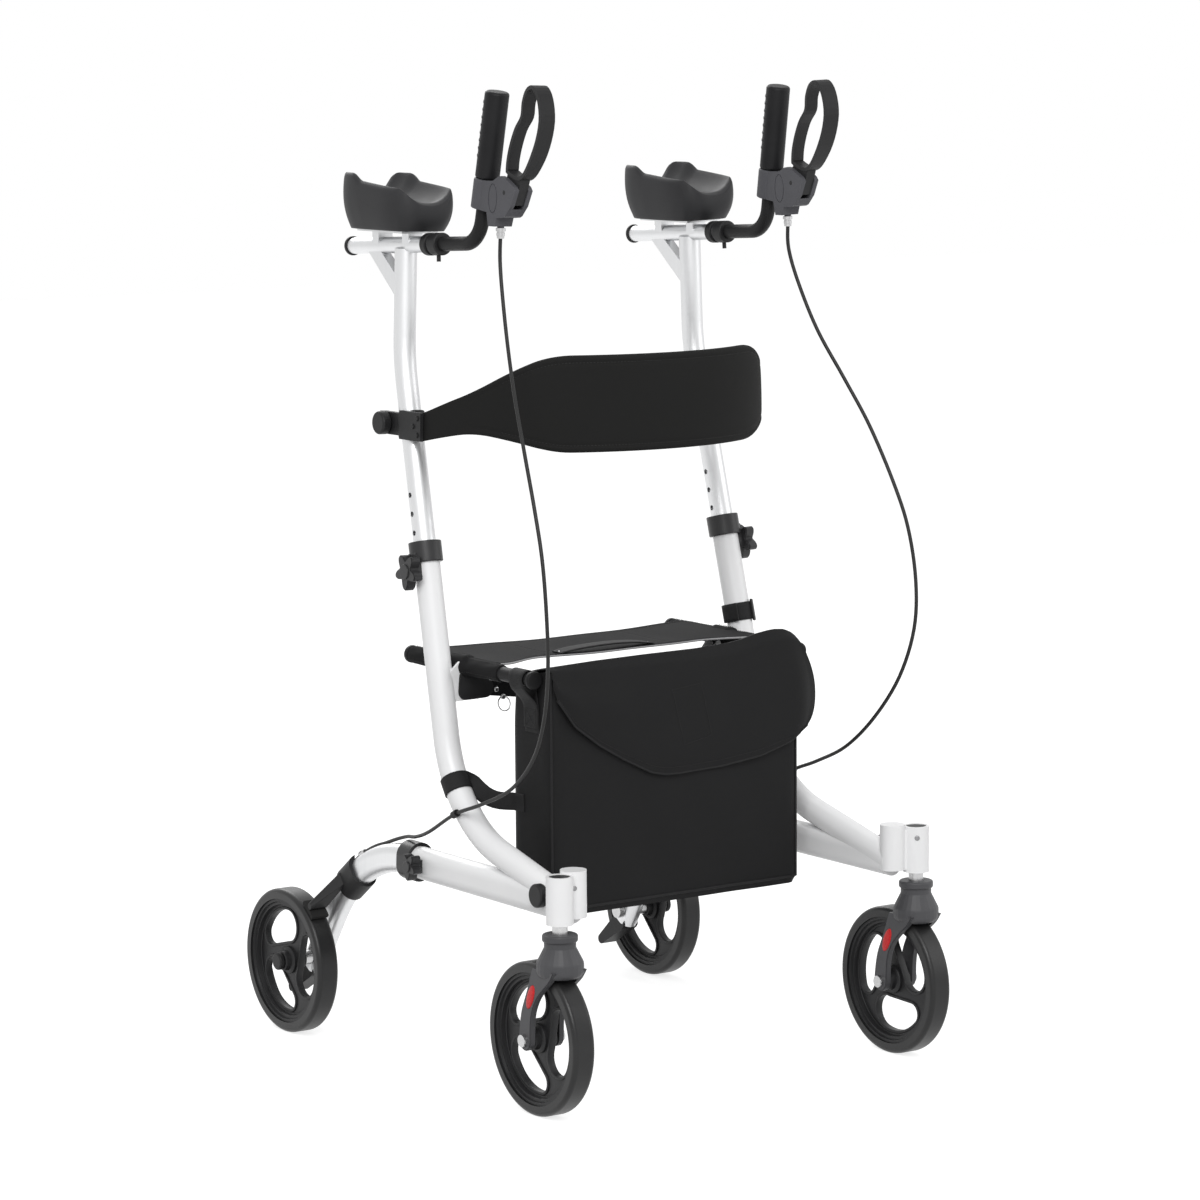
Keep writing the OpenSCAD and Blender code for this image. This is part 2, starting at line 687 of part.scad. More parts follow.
module tyre(x, y) {
    r = 6;
    translate([x, y, axle_z]) rotate([0, 90, 0]) rotate_extrude() {
        translate([wheel_d / 2 - tyre_t, -tyre_w / 2]) square([tyre_t - r, tyre_w]);
        translate([wheel_d / 2 - tyre_t, r - tyre_w / 2]) square([tyre_t, tyre_w - 2 * r]);
        for (z = [-1, 1]) translate([wheel_d / 2 - r, z * (tyre_w / 2 - r)]) circle(r = r);
    }
}

// A hub: boss, stepped rim, and three broad spokes that swirl round between round openings
module hub(x, y, turn) {
    rim_r = wheel_d / 2 - tyre_t;
    translate([x, y, axle_z]) rotate([0, 90, 0]) difference() {
        union() {
            translate([0, 0, -hub_w / 2]) cylinder(h = hub_w, d = boss_d);
            rotate_extrude() {
                translate([rim_r - 5, -tyre_w / 2 + 2]) square([5, tyre_w - 4]);
                translate([rim_r - 10, -10.5]) square([7, 21]);
                translate([rim_r - 15, -6.5]) square([8, 13]);
                translate([boss_d / 2 - 4, -3]) square([rim_r - boss_d / 2 - 6, 6]);
            }
            for (a = [0:120:240]) {
                translate([0, 0, -8]) linear_extrude(16) polygon(hub_opening(turn + a, 10.5));
                translate([0, 0, -9.5]) linear_extrude(19) polygon(hub_opening(turn + a, 3));
            }
        }
        for (a = [0:120:240])
            translate([0, 0, -hub_w]) linear_extrude(2 * hub_w) polygon(hub_opening(turn + a, 0));
        translate([0, 0, -hub_w]) cylinder(h = 2 * hub_w, d = axle_d + 2 * run_fit);
    }
}

// An opening between the spokes, grown by some distance all round: wide by one spoke, and narrowing
// along the rim to the next
function hub_opening(turn, grow) = let (
    far = wheel_d / 2 - tyre_t - 19,
    wide = (far - boss_d / 2 - 9) / 2,
    thin = 5.5,
    span = 62,
    steps = 10
) concat(
    [for (k = [0:steps]) (far + grow) * outward(turn + span * k / steps)],
    [for (a = [30:30:150]) (far - thin) * outward(turn + span)
        + (thin + grow) * outward(turn + span + a)],
    [for (k = [steps:-1:0]) let (f = k / steps)
        (far - 2 * (wide + (thin - wide) * f ^ 1.1) - grow) * outward(turn + span * f)],
    [for (a = [200:20:340]) (far - wide) * outward(turn) + (wide + grow) * outward(turn + a)]
);
// A direction in a wheel's plane, turned from the front up and over the top
function outward(turn) = [-sin(turn), -cos(turn)];

module front_tyre(s) color(plastic_black) side(s) tyre(caster_x, front_axle_y);
module front_hub(s) color(plastic_black) side(s) hub(caster_x, front_axle_y, s == "left_" ? 114 : 85);
module rear_tyre(s) color(plastic_black) side(s) tyre(rear_wheel_x, rear_axle_y);
module rear_hub(s) color(plastic_black) side(s) hub(rear_wheel_x, rear_axle_y, 81);

// The fork: bearing cover, a crown that swells over the tyre, and two legs that sweep back to the axle
module caster_fork(s) color(plastic_black) side(s) difference() {
    union() {
        translate([caster_x, caster_y, fork_top_z - 10]) soft_disc(cover_d, 10, 3);
        translate([caster_x, caster_y, fork_top_z - 20]) cylinder(h = 12, d = cover_d - 5);
        hull($fn = hull_fn) {
            translate([caster_x, caster_y, fork_top_z - 20]) cylinder(h = 3, d = cover_d - 5);
            translate([caster_x, caster_y, crown_z - 17]) soft_disc(2 * fork_half + 8, 26, 9);
        }
        for (side = [-1, 1]) fork_leg(side);
    }
    x_rod(caster_x - fork_gap, caster_x + fork_gap, front_axle_y, axle_z, wheel_d + 8);
    translate([caster_x, caster_y, crown_z + 4]) cylinder(h = fork_top_z - crown_z, d = stem_d);
    x_rod(caster_x - fork_half - past, caster_x + fork_half + past, front_axle_y, axle_z, axle_d - 2);
}

// A leg: a plate, a slimmer layer outside it, and a hollow for a reflector
module fork_leg(side) {
    layer = 1.5;
    difference() {
        translate([caster_x, front_axle_y, axle_z]) rotate([90, 0, 90]) {
            translate([0, 0, side > 0 ? fork_gap : -fork_half + layer]) linear_extrude(fork_leg_t - layer)
                polygon(fork_outline(0));
            translate([0, 0, side > 0 ? fork_gap : -fork_half]) linear_extrude(fork_leg_t)
                polygon(fork_outline(layer));
        }
        translate([caster_x + side * fork_half, front_axle_y - 0.34 * trail,
                   axle_z + 0.57 * (crown_z - axle_z)])
            rotate([90, 0, 90]) translate([0, 0, -1]) linear_extrude(2) rotate(24)
                polygon([for (a = [0:15:345]) [7.5 * cos(a), 18 * sin(a)]]);
    }
}

// Up a fork leg: share of the way to the crown, share of the trail, half the width
fork_leg_levels = [
    [0, 0, 13.5], [0.2, 0.035, 12.5], [0.38, 0.125, 12], [0.56, 0.34, 13], [0.7, 0.58, 17],
    [0.82, 0.8, 22], [0.94, 0.97, 24]
];
// A leg's outline, drawn in by some distance: [back from the axle, up from it]
function fork_outline(in) = concat(
    [for (a = [200:20:340]) (13.5 - in) * [cos(a), sin(a)]],
    smooth([for (q = fork_leg_levels) fork_edge(q, q[2] - in)], 3),
    smooth([for (k = [6:-1:0]) fork_edge(fork_leg_levels[k], in - fork_leg_levels[k][2])], 3)
);
function fork_edge(q, half) = [half - q[1] * trail, q[0] * (crown_z - axle_z)];

module caster_bolts(s) color(tube_silver) side(s) {
    translate([caster_x, caster_y, crown_z + 4]) cylinder(h = head_z1 - crown_z - 16, d = stem_d);
    translate([caster_x, caster_y, fork_top_z]) cylinder(h = head_z0 - fork_top_z - part_gap, d = stem_d + 6);
    x_rod(caster_x - fork_half - 4, caster_x + fork_half + 4, front_axle_y, axle_z, axle_d - 2);
    for (x = [-fork_half - 5, fork_half])
        x_rod(caster_x + x, caster_x + x + 5, front_axle_y, axle_z, axle_d + 4);
    for (x = [-1, 1]) front_spacer(x);
}

// The sleeve that fills the hub's bore round the thinner front axle, and spaces it from the fork
module front_spacer(x) {
    end = x * (fork_gap - 0.05);
    difference() {
        x_rod(caster_x + min(0, end), caster_x + max(0, end), front_axle_y, axle_z, axle_d);
        x_rod(caster_x - fork_gap, caster_x + fork_gap, front_axle_y, axle_z, axle_d - 2);
    }
}

module post(s) color(tube_silver) side(s) in_plane() difference() {
    union() {
        bent_run(post_foot, post_corner, post_top + [0, 4], post_bend_r) circle(d = post_d);
        straight_run(arm_point(arm_rear_y), arm_point(arm_front_y)) circle(d = arm_d);
        gusset();
        pad_plate();
    }
    bent_run(post_foot - past * upright_dir, post_corner, post_top - [0, 2], post_bend_r)
        circle(d = post_d - 2 * post_wall);
    straight_run(arm_point(arm_rear_y + past), arm_point(arm_front_y - past)) circle(d = arm_bore_d);
    for (k = [-holes_down:holes_up]) height_hole(screw_at + k * hole_pitch * upright_dir);
}

module height_hole(p) {
    translate([-post_d, p[0], p[1]]) rotate([0, 90, 0]) cylinder(h = 2 * post_d, d = hole_d);
}

// The strut behind the post, from the forearm tube's underside down to the post
module gusset() {
    strut_t = 14;
    far = arm_point(post_top_y + strut_reach);
    near = arm_point(post_top_y + strut_reach - strut_w);
    translate([-strut_t / 2, 0, 0]) rotate([90, 0, 90]) linear_extrude(strut_t)
        polygon([far, near, [post_top_y + post_d / 4, post_top[1] - strut_drop + strut_w],
                 [post_top_y + post_d / 4, post_top[1] - strut_drop]]);
}

module pad_plate() {
    low = arm_point(pad_y)[1];
    translate([-plate_w / 2, pad_y - plate_l / 2, up(plate_z) - 3]) cube([plate_w, plate_l, 3]);
    for (y = [-1, 1]) translate([-arm_d / 2, pad_y + y * plate_l / 3 - 8, low])
        cube([arm_d, 16, up(plate_z) - low - past]);
}

// The pad is a sheet of points over its plan: a trough between two walls, high at the rear
pad_cols = 16;
pad_rows = 12;
// Rounded plan: -1 to 1 each way becomes a place on the pad
function pad_plan(a, b) = [a * pad_w / 2 * sqrt(1 - 0.3 * b ^ 4), b * pad_l / 2 * sqrt(1 - 0.3 * a ^ 4)];
function ease(f) = let (g = min(max(f, 0), 1)) g * g * (3 - 2 * g);
// Shares of the pad's height: its hollow, and its walls, which step up to ears at the back
function pad_floor(b) = pad_h * (0.45 + 0.05 * ease((abs(b) - 0.6) / 0.4));
function pad_wall(b) = pad_h * (0.75 + 0.11 * min((b + 1) / 1.2, 1) + 0.14 * ease((b - 0.2) / 0.35));
function pad_top(a, b) = let (w = min(abs(a) / 0.9, 1) ^ 2.4, edge = 7 * ease((abs(a) - 0.86) / 0.14))
    pad_floor(b) + w * (pad_wall(b) - pad_floor(b)) - edge - 5 * ease((abs(b) - 0.86) / 0.14);

module forearm_pad(s) color(plastic_black) side(s) in_plane() translate([0, pad_y, up(plate_z)]) {
    c = pad_cols + 1;
    n = c * (pad_rows + 1);
    cells = [for (j = [0:pad_rows]) for (i = [0:pad_cols]) [2 * i / pad_cols - 1, 2 * j / pad_rows - 1]];
    tops = [for (q = cells) let (p = pad_plan(q[0], q[1])) [p[0], p[1], pad_top(q[0], q[1])]];
    feet = [for (q = cells) let (p = pad_plan(q[0], q[1])) [0.84 * p[0], 0.82 * p[1], 0]];
    skin = [for (j = [0:pad_rows - 1]) for (i = [0:pad_cols - 1]) let (k = j * c + i) each
        [[k, k + c + 1, k + 1], [k, k + c, k + c + 1]]];
    base = [for (f = skin) [f[2] + n, f[1] + n, f[0] + n]];
    rim = concat(
        [for (i = [0:pad_cols]) i],
        [for (j = [1:pad_rows]) j * c + pad_cols],
        [for (i = [pad_cols - 1:-1:0]) pad_rows * c + i],
        [for (j = [pad_rows - 1:-1:1]) j * c]
    );
    m = len(rim);
    wall = [for (k = [0:m - 1]) let (a = rim[k], b = rim[(k + 1) % m]) each
        [[a, b, b + n], [a, b + n, a + n]]];
    polyhedron(concat(tops, feet), concat(skin, base, wall), convexity = 6);
}

// Two rings round the joint of tube and bar, a screw below, and the cap on the tube's rear end
module bar_clamp(s) color(plastic_black) side(s) in_plane() {
    ring_wall = 4;
    difference() {
        union() {
            along(arm_point(arm_front_y + 25), arm_dir) soft_disc(arm_d + 2 * ring_wall, 12, 1.5);
            along(arm_point(arm_front_y + 8), arm_dir) soft_disc(arm_d + 2 * ring_wall, 19, 2);
            along(arm_point(arm_front_y + 8), arm_dir) translate([arm_d / 2, 0, 8]) rotate([0, 90, 0])
                cylinder(h = 12, d = 5.5);
        }
        straight_run(arm_point(arm_front_y + 40), arm_point(arm_front_y)) circle(d = arm_d);
        straight_run(arm_point(arm_front_y + past), arm_point(arm_front_y - 30)) circle(d = arm_bore_d);
    }
    along(arm_point(arm_rear_y + 6), arm_dir) soft_disc(arm_d + 4, 6 / cos(arm_rise), 2);
}

module backrest_clamp(s) color(plastic_black) side(s) in_plane() {
    out = post_d / 2 + clamp_wall;
    difference() {
        union() {
            along(clamp_at - clamp_h / 2 * upright_dir, upright_dir) soft_disc(2 * out, clamp_h, 1.5);
            translate([out - 12, clamp_at[0], clamp_at[1] - 15]) cube([10, 52, 30]);
            translate([rivet_plate_out - rivet_plate_t, clamp_at[0] - 52, clamp_at[1] - 19])
                cube([rivet_plate_t, 52, 38]);
        }
        along(clamp_at - clamp_h * upright_dir, upright_dir) cylinder(h = 2 * clamp_h, d = post_d);
    }
    translate([out - 2, clamp_at[0] + 36, clamp_at[1]]) rotate([0, 90, 0]) soft_disc(31, 14, 3);
    for (p = [[-44, 11], [-44, -11], [-34, 0]])
        translate([rivet_plate_out - past, clamp_at[0] + p[0], clamp_at[1] + p[1]])
            rotate([0, 90, 0]) soft_disc(7, 3, 1);
}

module handle_bar(s) color(plastic_black) side(s) in_plane() difference() {
    bent_run(bar_start, bar_corner, bar_end, bar_bend_r) circle(d = bar_d);
    bent_run(bar_start - past * arm_dir, bar_corner, bar_end + past * bar_dir, bar_bend_r)
        circle(d = bar_d - 2 * bar_wall);
}

module grip(s) color(plastic_black) side(s) in_plane() along(grip_base, bar_dir) difference() {
    union() {
        soft_disc(grip_d, grip_l, 4);
        for (k = [0:7]) translate([-1.2, 0, 26 + 10 * k]) soft_disc(grip_d, 6, 2.4);
    }
    translate([0, 0, -past]) cylinder(h = grip_l - 6 + past, d = bar_d);
}

module brake_housing(s) color(charcoal) side(s) in_plane() {
    difference() {
        union() {
            translate([-housing_t / 2, 0, 0]) rotate([90, 0, 90]) linear_extrude(housing_t)
                polygon([for (p = housing_points) from_grip(p)]);
            along(grip_base - 39 * bar_dir, bar_dir) soft_disc(grip_d + 2, 39, 2);
        }
        bent_run(bar_start, bar_corner, bar_end, bar_bend_r) circle(d = bar_d);
        along(grip_base, bar_dir) cylinder(h = grip_l, d = grip_d + 2 * part_gap);
        translate([-lever_slot / 2 - part_gap, 0, 0]) rotate([90, 0, 90])
            linear_extrude(lever_slot + 2 * part_gap) {
                translate(lever_pivot) circle(d = 30);
                polygon([for (p = [[50, -37], [95, -37], [95, 30], [44, 30]]) from_grip(p)]);
            }
        x_rod(-housing_t, housing_t, lever_pivot[0], lever_pivot[1], lever_pin_d + 2 * run_fit);
        for (x = [-1, 1]) oval_groove(x);
    }
    translate([0, adjuster_at[0], adjuster_at[1] - adjuster_l]) difference() {
        union() {
            cylinder(h = adjuster_l, d = cable_d + 4);
            translate([0, 0, adjuster_l - 9]) cylinder(h = 4, d = cable_d + 7);
        }
        translate([0, 0, -past]) cylinder(h = adjuster_l - 3, d = cable_d + 3 * part_gap);
    }
}

// The line round the round inlay on a face of the housing
module oval_groove(x) {
    depth = 0.8;
    translate([x > 0 ? housing_t / 2 - depth : -housing_t / 2 - past, 0, 0]) rotate([90, 0, 90])
        linear_extrude(depth + past) difference() {
            polygon([for (a = [0:12:348]) from_grip([34, -24] + [10 * cos(a), 19 * sin(a)])]);
            polygon([for (a = [0:12:348]) from_grip([34, -24] + [8.8 * cos(a), 17.8 * sin(a)])]);
        }
}

// The loop's band, [forward, up], inside or outside its middle line
function loop_edge(offset) = let (
    q = smooth(concat(loop_points, [loop_points[0]]), 4),
    n = len(q) - 1
) [for (i = [0:n - 1]) let (t = toward(q[(i + n - 1) % n], q[i + 1]))
    from_grip(q[i] + offset * [-t[1], t[0]])];

module brake_lever(s) color(plastic_black) side(s) in_plane() {
    intersection() {
        translate([-lever_w / 2, 0, 0]) rotate([90, 0, 90]) linear_extrude(lever_w) difference() {
            polygon(loop_edge(lever_t / 2));
            polygon(loop_edge(-lever_t / 2));
        }
        translate([0, grip_base[0], grip_base[1] - 40]) linear_extrude(200)
            polygon([for (x = [-1, 1]) for (q = x < 0 ? lever_plan : [for (k = [3:-1:0]) lever_plan[k]])
                [x * q[1] * lever_w, -q[0]]]);
    }
    translate([-lever_slot / 2, 0, 0]) rotate([90, 0, 90]) linear_extrude(lever_slot) {
        translate(lever_pivot) circle(d = 24);
        polygon([for (p = [[54, -26], [66, -33], [75, -32], [84, -13], [90, 2], [72, 6], [59, 10], [53, -6]])
            from_grip(p)]);
    }
    x_rod(-housing_t / 2, housing_t / 2, lever_pivot[0], lever_pivot[1], lever_pin_d);
}

// The cap on the leg that carries the brake shoe's arm
module brake_bracket(s) color(plastic_black) side(s) {
    p = leg_bend_point(bracket_turn, 0);
    t = [cos(bracket_turn), -sin(bracket_turn)];
    arm = [rear_axle_y, axle_z] + (shoe_r + shoe_t + 4 + part_gap) * shoe_dir;
    difference() {
        union() {
            in_plane() straight_run(p - bracket_l / 2 * t, p + bracket_l / 2 * t)
                oval(leg_h + 2 * bracket_wall, leg_w + 2 * bracket_wall);
            hull($fn = hull_fn) {
                in_plane() along(p + 8 * t, t) translate([-5, leg_w / 2, 0]) cube([18, bracket_wall, 12]);
                x_rod(rear_wheel_x - shoe_w / 2, rear_wheel_x + shoe_w / 2, arm[0], arm[1], 9);
            }
        }
        in_plane() leg_outside();
        in_plane() along(p, t) translate([leg_h / 2, 0, -bracket_l]) cylinder(h = bracket_l, d = cable_d + 6);
        x_rod(rear_wheel_x - tyre_w, rear_wheel_x + tyre_w, rear_axle_y, axle_z,
              2 * (shoe_r + shoe_t + part_gap));
        x_rod(rear_wheel_x - shoe_w, rear_wheel_x + shoe_w, rear_axle_y, axle_z, wheel_d + 2);
    }
}

// The shoe: a block curved to the tyre, held off it by its spring
module brake_shoe(s) color(plastic_black) side(s)
    translate([rear_wheel_x, rear_axle_y, axle_z]) rotate([90, 0, 90]) translate([0, 0, -shoe_w / 2])
        rotate(shoe_angle - shoe_span / 2) rotate_extrude(angle = shoe_span)
            translate([shoe_r, 0]) square([shoe_t, shoe_w]);

module brake_cable(s) color(plastic_black) side(s) swept_tube(smooth(cable_path, 3), cable_d, 8);

// A brace link on its left side, from its pivot in the cheeks to the knee
module link_bar(y0) {
    translate([0, y0 + link_t, 0]) rotate([90, 0, 0]) linear_extrude(link_t) {
        translate([pivot_x, pivot_z]) circle(d = link_h);
        translate([0, knee_z]) circle(d = link_h);
        translate([0, knee_z]) rotate(link_dip) translate([0, -link_h / 2]) square([link_l, link_h]);
    }
}

module left_brace_link() color(plastic_black) {
    difference() {
        link_bar(brace_y + link_gap);
        y_rod(0, brace_y - past, brace_y + link_t + past, knee_z, pin_d);
    }
    y_rod(pivot_x, brace_y - cheek_y - cheek_t - 2, brace_y + cheek_y + cheek_t + 2, pivot_z, pin_d);
}

module right_brace_link() color(plastic_black) mirror([1, 0, 0]) {
    difference() {
        link_bar(brace_y - link_gap - link_t);
        y_rod(0, brace_y - link_t - past, brace_y + past, knee_z, pin_d + 2 * run_fit);
    }
    y_rod(pivot_x, brace_y - cheek_y - cheek_t - 2, brace_y + cheek_y + cheek_t + 2, pivot_z, pin_d);
}

module knee_pin() color(tube_silver) {
    far = link_t + 2 * link_gap;
    y_rod(0, brace_y - far - 3, brace_y + far + 3, knee_z, pin_d);
    y_rod(0, brace_y - far - 4, brace_y - far, knee_z, pin_d + 6);
    y_rod(0, brace_y + link_t + link_gap, brace_y + far + 4, knee_z, pin_d + 6);
}

// The seat: cloth hung between sleeves on the two rails
module seat_sling() color(cloth_black) {
    half = seat_rail_x - 3;
    top = seat_rail_z + sleeve_d / 2;
    notch = cheek_y + cheek_t + 1;
    line = [for (k = [-12.5:12.5]) let (f = k / 12.5) [f * half, top - seat_sag * (1 - f ^ 2)]];
    difference() {
        translate([0, panel_rear_y, 0]) rotate([90, 0, 0]) linear_extrude(panel_rear_y - panel_front_y)
            polygon(concat(line, [for (k = [25:-1:0]) line[k] - [0, cloth_t]]));
        for (side = [-1, 1]) translate([side * seat_rail_x, brace_y, seat_rail_z])
            cube([40, 2 * notch, 40], center = true);
    }
    for (side = [-1, 1]) difference() {
        for (run = [[seat_front_y + 85, brace_y - notch], [brace_y + notch, panel_rear_y]])
            y_rod(side * seat_rail_x, run[0], run[1], seat_rail_z, sleeve_d);
        y_rod(side * seat_rail_x, seat_front_y, seat_rear_y, seat_rail_z, seat_rail_d + 2 * part_gap);
    }
}

// The backrest widens from its straps in two steps, and its middle rises first
function band_turn(turn) = min(turn, 180 - turn);
function band_share(t) = t < 25 ? 0.19 * (t / 25) ^ 1.2 : min(0.19 + 0.81 * (t - 25) / 26, 1);
function band_width(turn) = band_end_h + band_share(band_turn(turn)) * (band_h - band_end_h);
function band_rise(turn) = band_lift * ease(band_turn(turn) / 50) ^ 0.6;
// A section of the backrest, or of its straight end some way behind the turn's start
function band_ring(turn, behind) = let (
    h = band_width(turn) / 2,
    t = strap_t + (band_t - strap_t) * ease((sin(turn) - 0.2) / 0.5),
    c = [band_end_x * cos(turn), band_mid_y - band_reach * sin(turn) + behind, clamp_z + band_rise(turn)],
    out = toward3([0, 0, 0], [cos(turn) / band_end_x, -sin(turn) / band_reach, 0])
) [for (q = band_section) let (p = c + q[0] * t * out + [0, 0, q[1] * h])
    [p[0] * (1 - (p[2] - clamp_z) * tan(side_tilt) / band_end_x), p[1], p[2]]];
band_section = [
    [0, -1], [0.7, -0.94], [1, -0.5], [1, 0.5], [0.7, 0.94], [0, 1], [-0.3, 0.94], [-0.3, -0.94]
];

module backrest_band() color(cloth_black)
    loft([band_ring(0, strap_tail), for (k = [0:40]) band_ring(k * 4.5, 0), band_ring(180, strap_tail)]);

// One level of the bag: a rectangle with round corners, drawn in or out
function bag_ring(z, in) = let (
    r = 22, x = bag_w / 2 - in, y = (bag_back_y - bag_front_y) / 2 - in, mid = (bag_back_y + bag_front_y) / 2
) [for (c = [[1, 1, 0], [-1, 1, 90], [-1, -1, 180], [1, -1, 270]]) for (a = [0:30:90])
    [c[0] * (x - r) + r * cos(c[2] + a), mid + c[1] * (y - r) + r * sin(c[2] + a), z]];

// The bag: cloth walls open at the top, a flap that folds over the front, and two webbing loops
module storage_bag() color(cloth_black) {
    h = bag_z1 - bag_z0;
    levels = [[0, 8], [0.03, 1], [0.3, 0], [0.6, 0], [0.9, 3], [1, 8]];
    difference() {
        loft([for (q = levels) bag_ring(bag_z0 + q[0] * h, q[1])]);
        loft([for (q = levels) bag_ring(bag_z0 + bag_wall + q[0] * h, q[1] + bag_wall)]);
    }
    translate([0, bag_front_y + 2, 0]) rotate([90, 0, 0]) linear_extrude(flap_t)
        polygon(concat([[-bag_w / 2, bag_z1 - 14], [bag_w / 2, bag_z1 - 14]],
            [for (k = [10:-1:-10]) let (f = k / 10) [f * bag_w / 2, bag_z0 + 0.56 * h + 0.24 * h * f ^ 2]]));
    bag_loop();
    mirror([1, 0, 0]) bag_loop();
}

// A webbing loop from the bag's side round the front of a seat rail
module bag_loop() {
    y0 = (bag_front_y + bag_back_y) / 2 - 12;
    ring_d = seat_rail_d + 2 * part_gap;
    web_w = 25;
    difference() {
        union() {
            y_rod(seat_rail_x, y0, y0 + web_w, seat_rail_z, ring_d + 2 * cloth_t);
            translate([bag_w / 2 - bag_wall, y0, seat_rail_z - 72])
                cube([seat_rail_x - ring_d / 2 - bag_w / 2 + bag_wall - 0.2, web_w, 72]);
        }
        y_rod(seat_rail_x, y0 - past, y0 + web_w + past, seat_rail_z, ring_d);
    }
}

module side_node(s, name) {
    children();
}

for (s = ["left_", "right_"]) {
    side_node(s, "side_frame") side_frame(s);
    side_node(s, "height_collar") height_collar(s);
    side_node(s, "height_knob") height_knob(s);
    side_node(s, "leg_collar") leg_collar(s);
    side_node(s, "leg_knob") leg_knob(s);
    side_node(s, "rear_leg") rear_leg(s);
    side_node(s, "seat_rail") seat_rail(s);
    side_node(s, "frame_plugs") frame_plugs(s);
    side_node(s, "tip_pedal") tip_pedal(s);
    side_node(s, "rear_axle") rear_axle(s);
    side_node(s, "rear_tyre") rear_tyre(s);
    side_node(s, "rear_hub") rear_hub(s);
    side_node(s, "brake_bracket") brake_bracket(s);
    side_node(s, "brake_shoe") brake_shoe(s);
    side_node(s, "brake_cable") brake_cable(s);
    side_node(s, "caster_fork") caster_fork(s);
    side_node(s, "caster_bolts") caster_bolts(s);
    side_node(s, "front_tyre") front_tyre(s);
    side_node(s, "front_hub") front_hub(s);
    side_node(s, "post") post(s);
    side_node(s, "forearm_pad") forearm_pad(s);
    side_node(s, "bar_clamp") bar_clamp(s);
    side_node(s, "backrest_clamp") backrest_clamp(s);
    side_node(s, "handle_bar") handle_bar(s);
    side_node(s, "grip") grip(s);
    side_node(s, "brake_housing") brake_housing(s);
    side_node(s, "brake_lever") brake_lever(s);
}
left_brace_link();
right_brace_link();
knee_pin();
seat_sling();
backrest_band();
storage_bag();
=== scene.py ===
"""Looks of an upright walker: finishes for its rigid parts, and its cloth, pads, cables and small trim.

The walker's lengths below are in millimetres in its own axes: +Z is up, the user walks towards -Y, and
the user's left is +X.
"""
import math

import bmesh
import bpy
import numpy as np
from mathutils import Matrix, Vector


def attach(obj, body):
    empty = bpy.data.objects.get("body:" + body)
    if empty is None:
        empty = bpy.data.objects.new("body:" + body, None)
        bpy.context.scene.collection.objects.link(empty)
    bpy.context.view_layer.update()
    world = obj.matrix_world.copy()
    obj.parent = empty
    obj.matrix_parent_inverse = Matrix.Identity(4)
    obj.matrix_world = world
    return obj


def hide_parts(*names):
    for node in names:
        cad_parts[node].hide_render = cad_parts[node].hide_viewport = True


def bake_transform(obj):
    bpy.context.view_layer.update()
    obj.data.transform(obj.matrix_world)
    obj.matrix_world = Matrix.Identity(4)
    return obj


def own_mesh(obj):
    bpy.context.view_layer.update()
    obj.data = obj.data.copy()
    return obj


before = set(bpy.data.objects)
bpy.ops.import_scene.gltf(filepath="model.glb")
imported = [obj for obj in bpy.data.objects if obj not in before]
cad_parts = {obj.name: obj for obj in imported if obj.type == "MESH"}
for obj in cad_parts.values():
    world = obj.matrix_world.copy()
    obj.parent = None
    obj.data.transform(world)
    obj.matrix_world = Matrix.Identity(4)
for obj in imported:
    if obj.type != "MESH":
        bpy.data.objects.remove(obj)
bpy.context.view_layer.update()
MM = 0.001
SIDES = {"left": 1, "right": -1}

# Places set by the solids: the leaning side frames, wheels, brace, seat rails and backrest clamps
TILT = math.radians(1.83)
RAIL_X, RAIL_Z = 258, 272
CASTER_X, FRONT_AXLE_Y = 288, -296
REAR_WHEEL_X, REAR_AXLE_Y = 306, 296
AXLE_Z, HUB_BORE = 100, 6.15
END_POST_Y = -327.0
PIVOT_X, PIVOT_Z = 188.0, 508.0
BRACKET_Y, COVER_Y = -6, {"front": -20.55, "rear": 8.55}
SEAT_RAIL_X, SEAT_RAIL_Z = 215, 540
CLAMP_X, CLAMP_Y, CLAMP_Z = 250.5, 29.9, 856

# Camera


def set_camera():
    """A camera fitted to the photograph."""
    yaw, pitch, roll = (math.radians(a) for a in (34.95, 7.66, -0.36))
    place = (-3.35773, -4.8817, 1.41655)
    photo_px, shift_px = 1200, (-25.5, -8.59)
    look = Vector((math.sin(yaw) * math.cos(pitch), math.cos(yaw) * math.cos(pitch), -math.sin(pitch)))
    level = Vector((math.cos(yaw), -math.sin(yaw), 0))
    rise = level.cross(look)
    across = math.cos(roll) * level + math.sin(roll) * rise
    upward = math.cos(roll) * rise - math.sin(roll) * level
    data = bpy.data.cameras.new("camera")
    data.sensor_width, data.lens = 36, 132.547
    data.shift_x, data.shift_y = (d / photo_px for d in shift_px)
    camera = bpy.data.objects.new("camera", data)
    turn = Matrix((across, upward, -look)).transposed().to_4x4()
    camera.matrix_world = Matrix.Translation(place) @ turn
    bpy.context.scene.collection.objects.link(camera)
    bpy.context.scene.camera = camera


set_camera()

# Finishes: shader values are written as sums and products


class Value:
    """One output of a finish's nodes. Arithmetic on it adds Math nodes."""

    def __init__(self, finish, socket):
        self.finish, self.socket = finish, socket

    def maths(self, operation, a, b):
        return self.finish.node("ShaderNodeMath", {"operation": operation}, {0: a, 1: b})

    def __add__(self, other):
        return self.maths("ADD", self, other)

    def __radd__(self, other):
        return self.maths("ADD", other, self)

    def __sub__(self, other):
        return self.maths("SUBTRACT", self, other)

    def __rsub__(self, other):
        return self.maths("SUBTRACT", other, self)

    def __mul__(self, other):
        return self.maths("MULTIPLY", self, other)

    def __rmul__(self, other):
        return self.maths("MULTIPLY", other, self)

    def sine(self):
        return self.maths("SINE", self, 0)


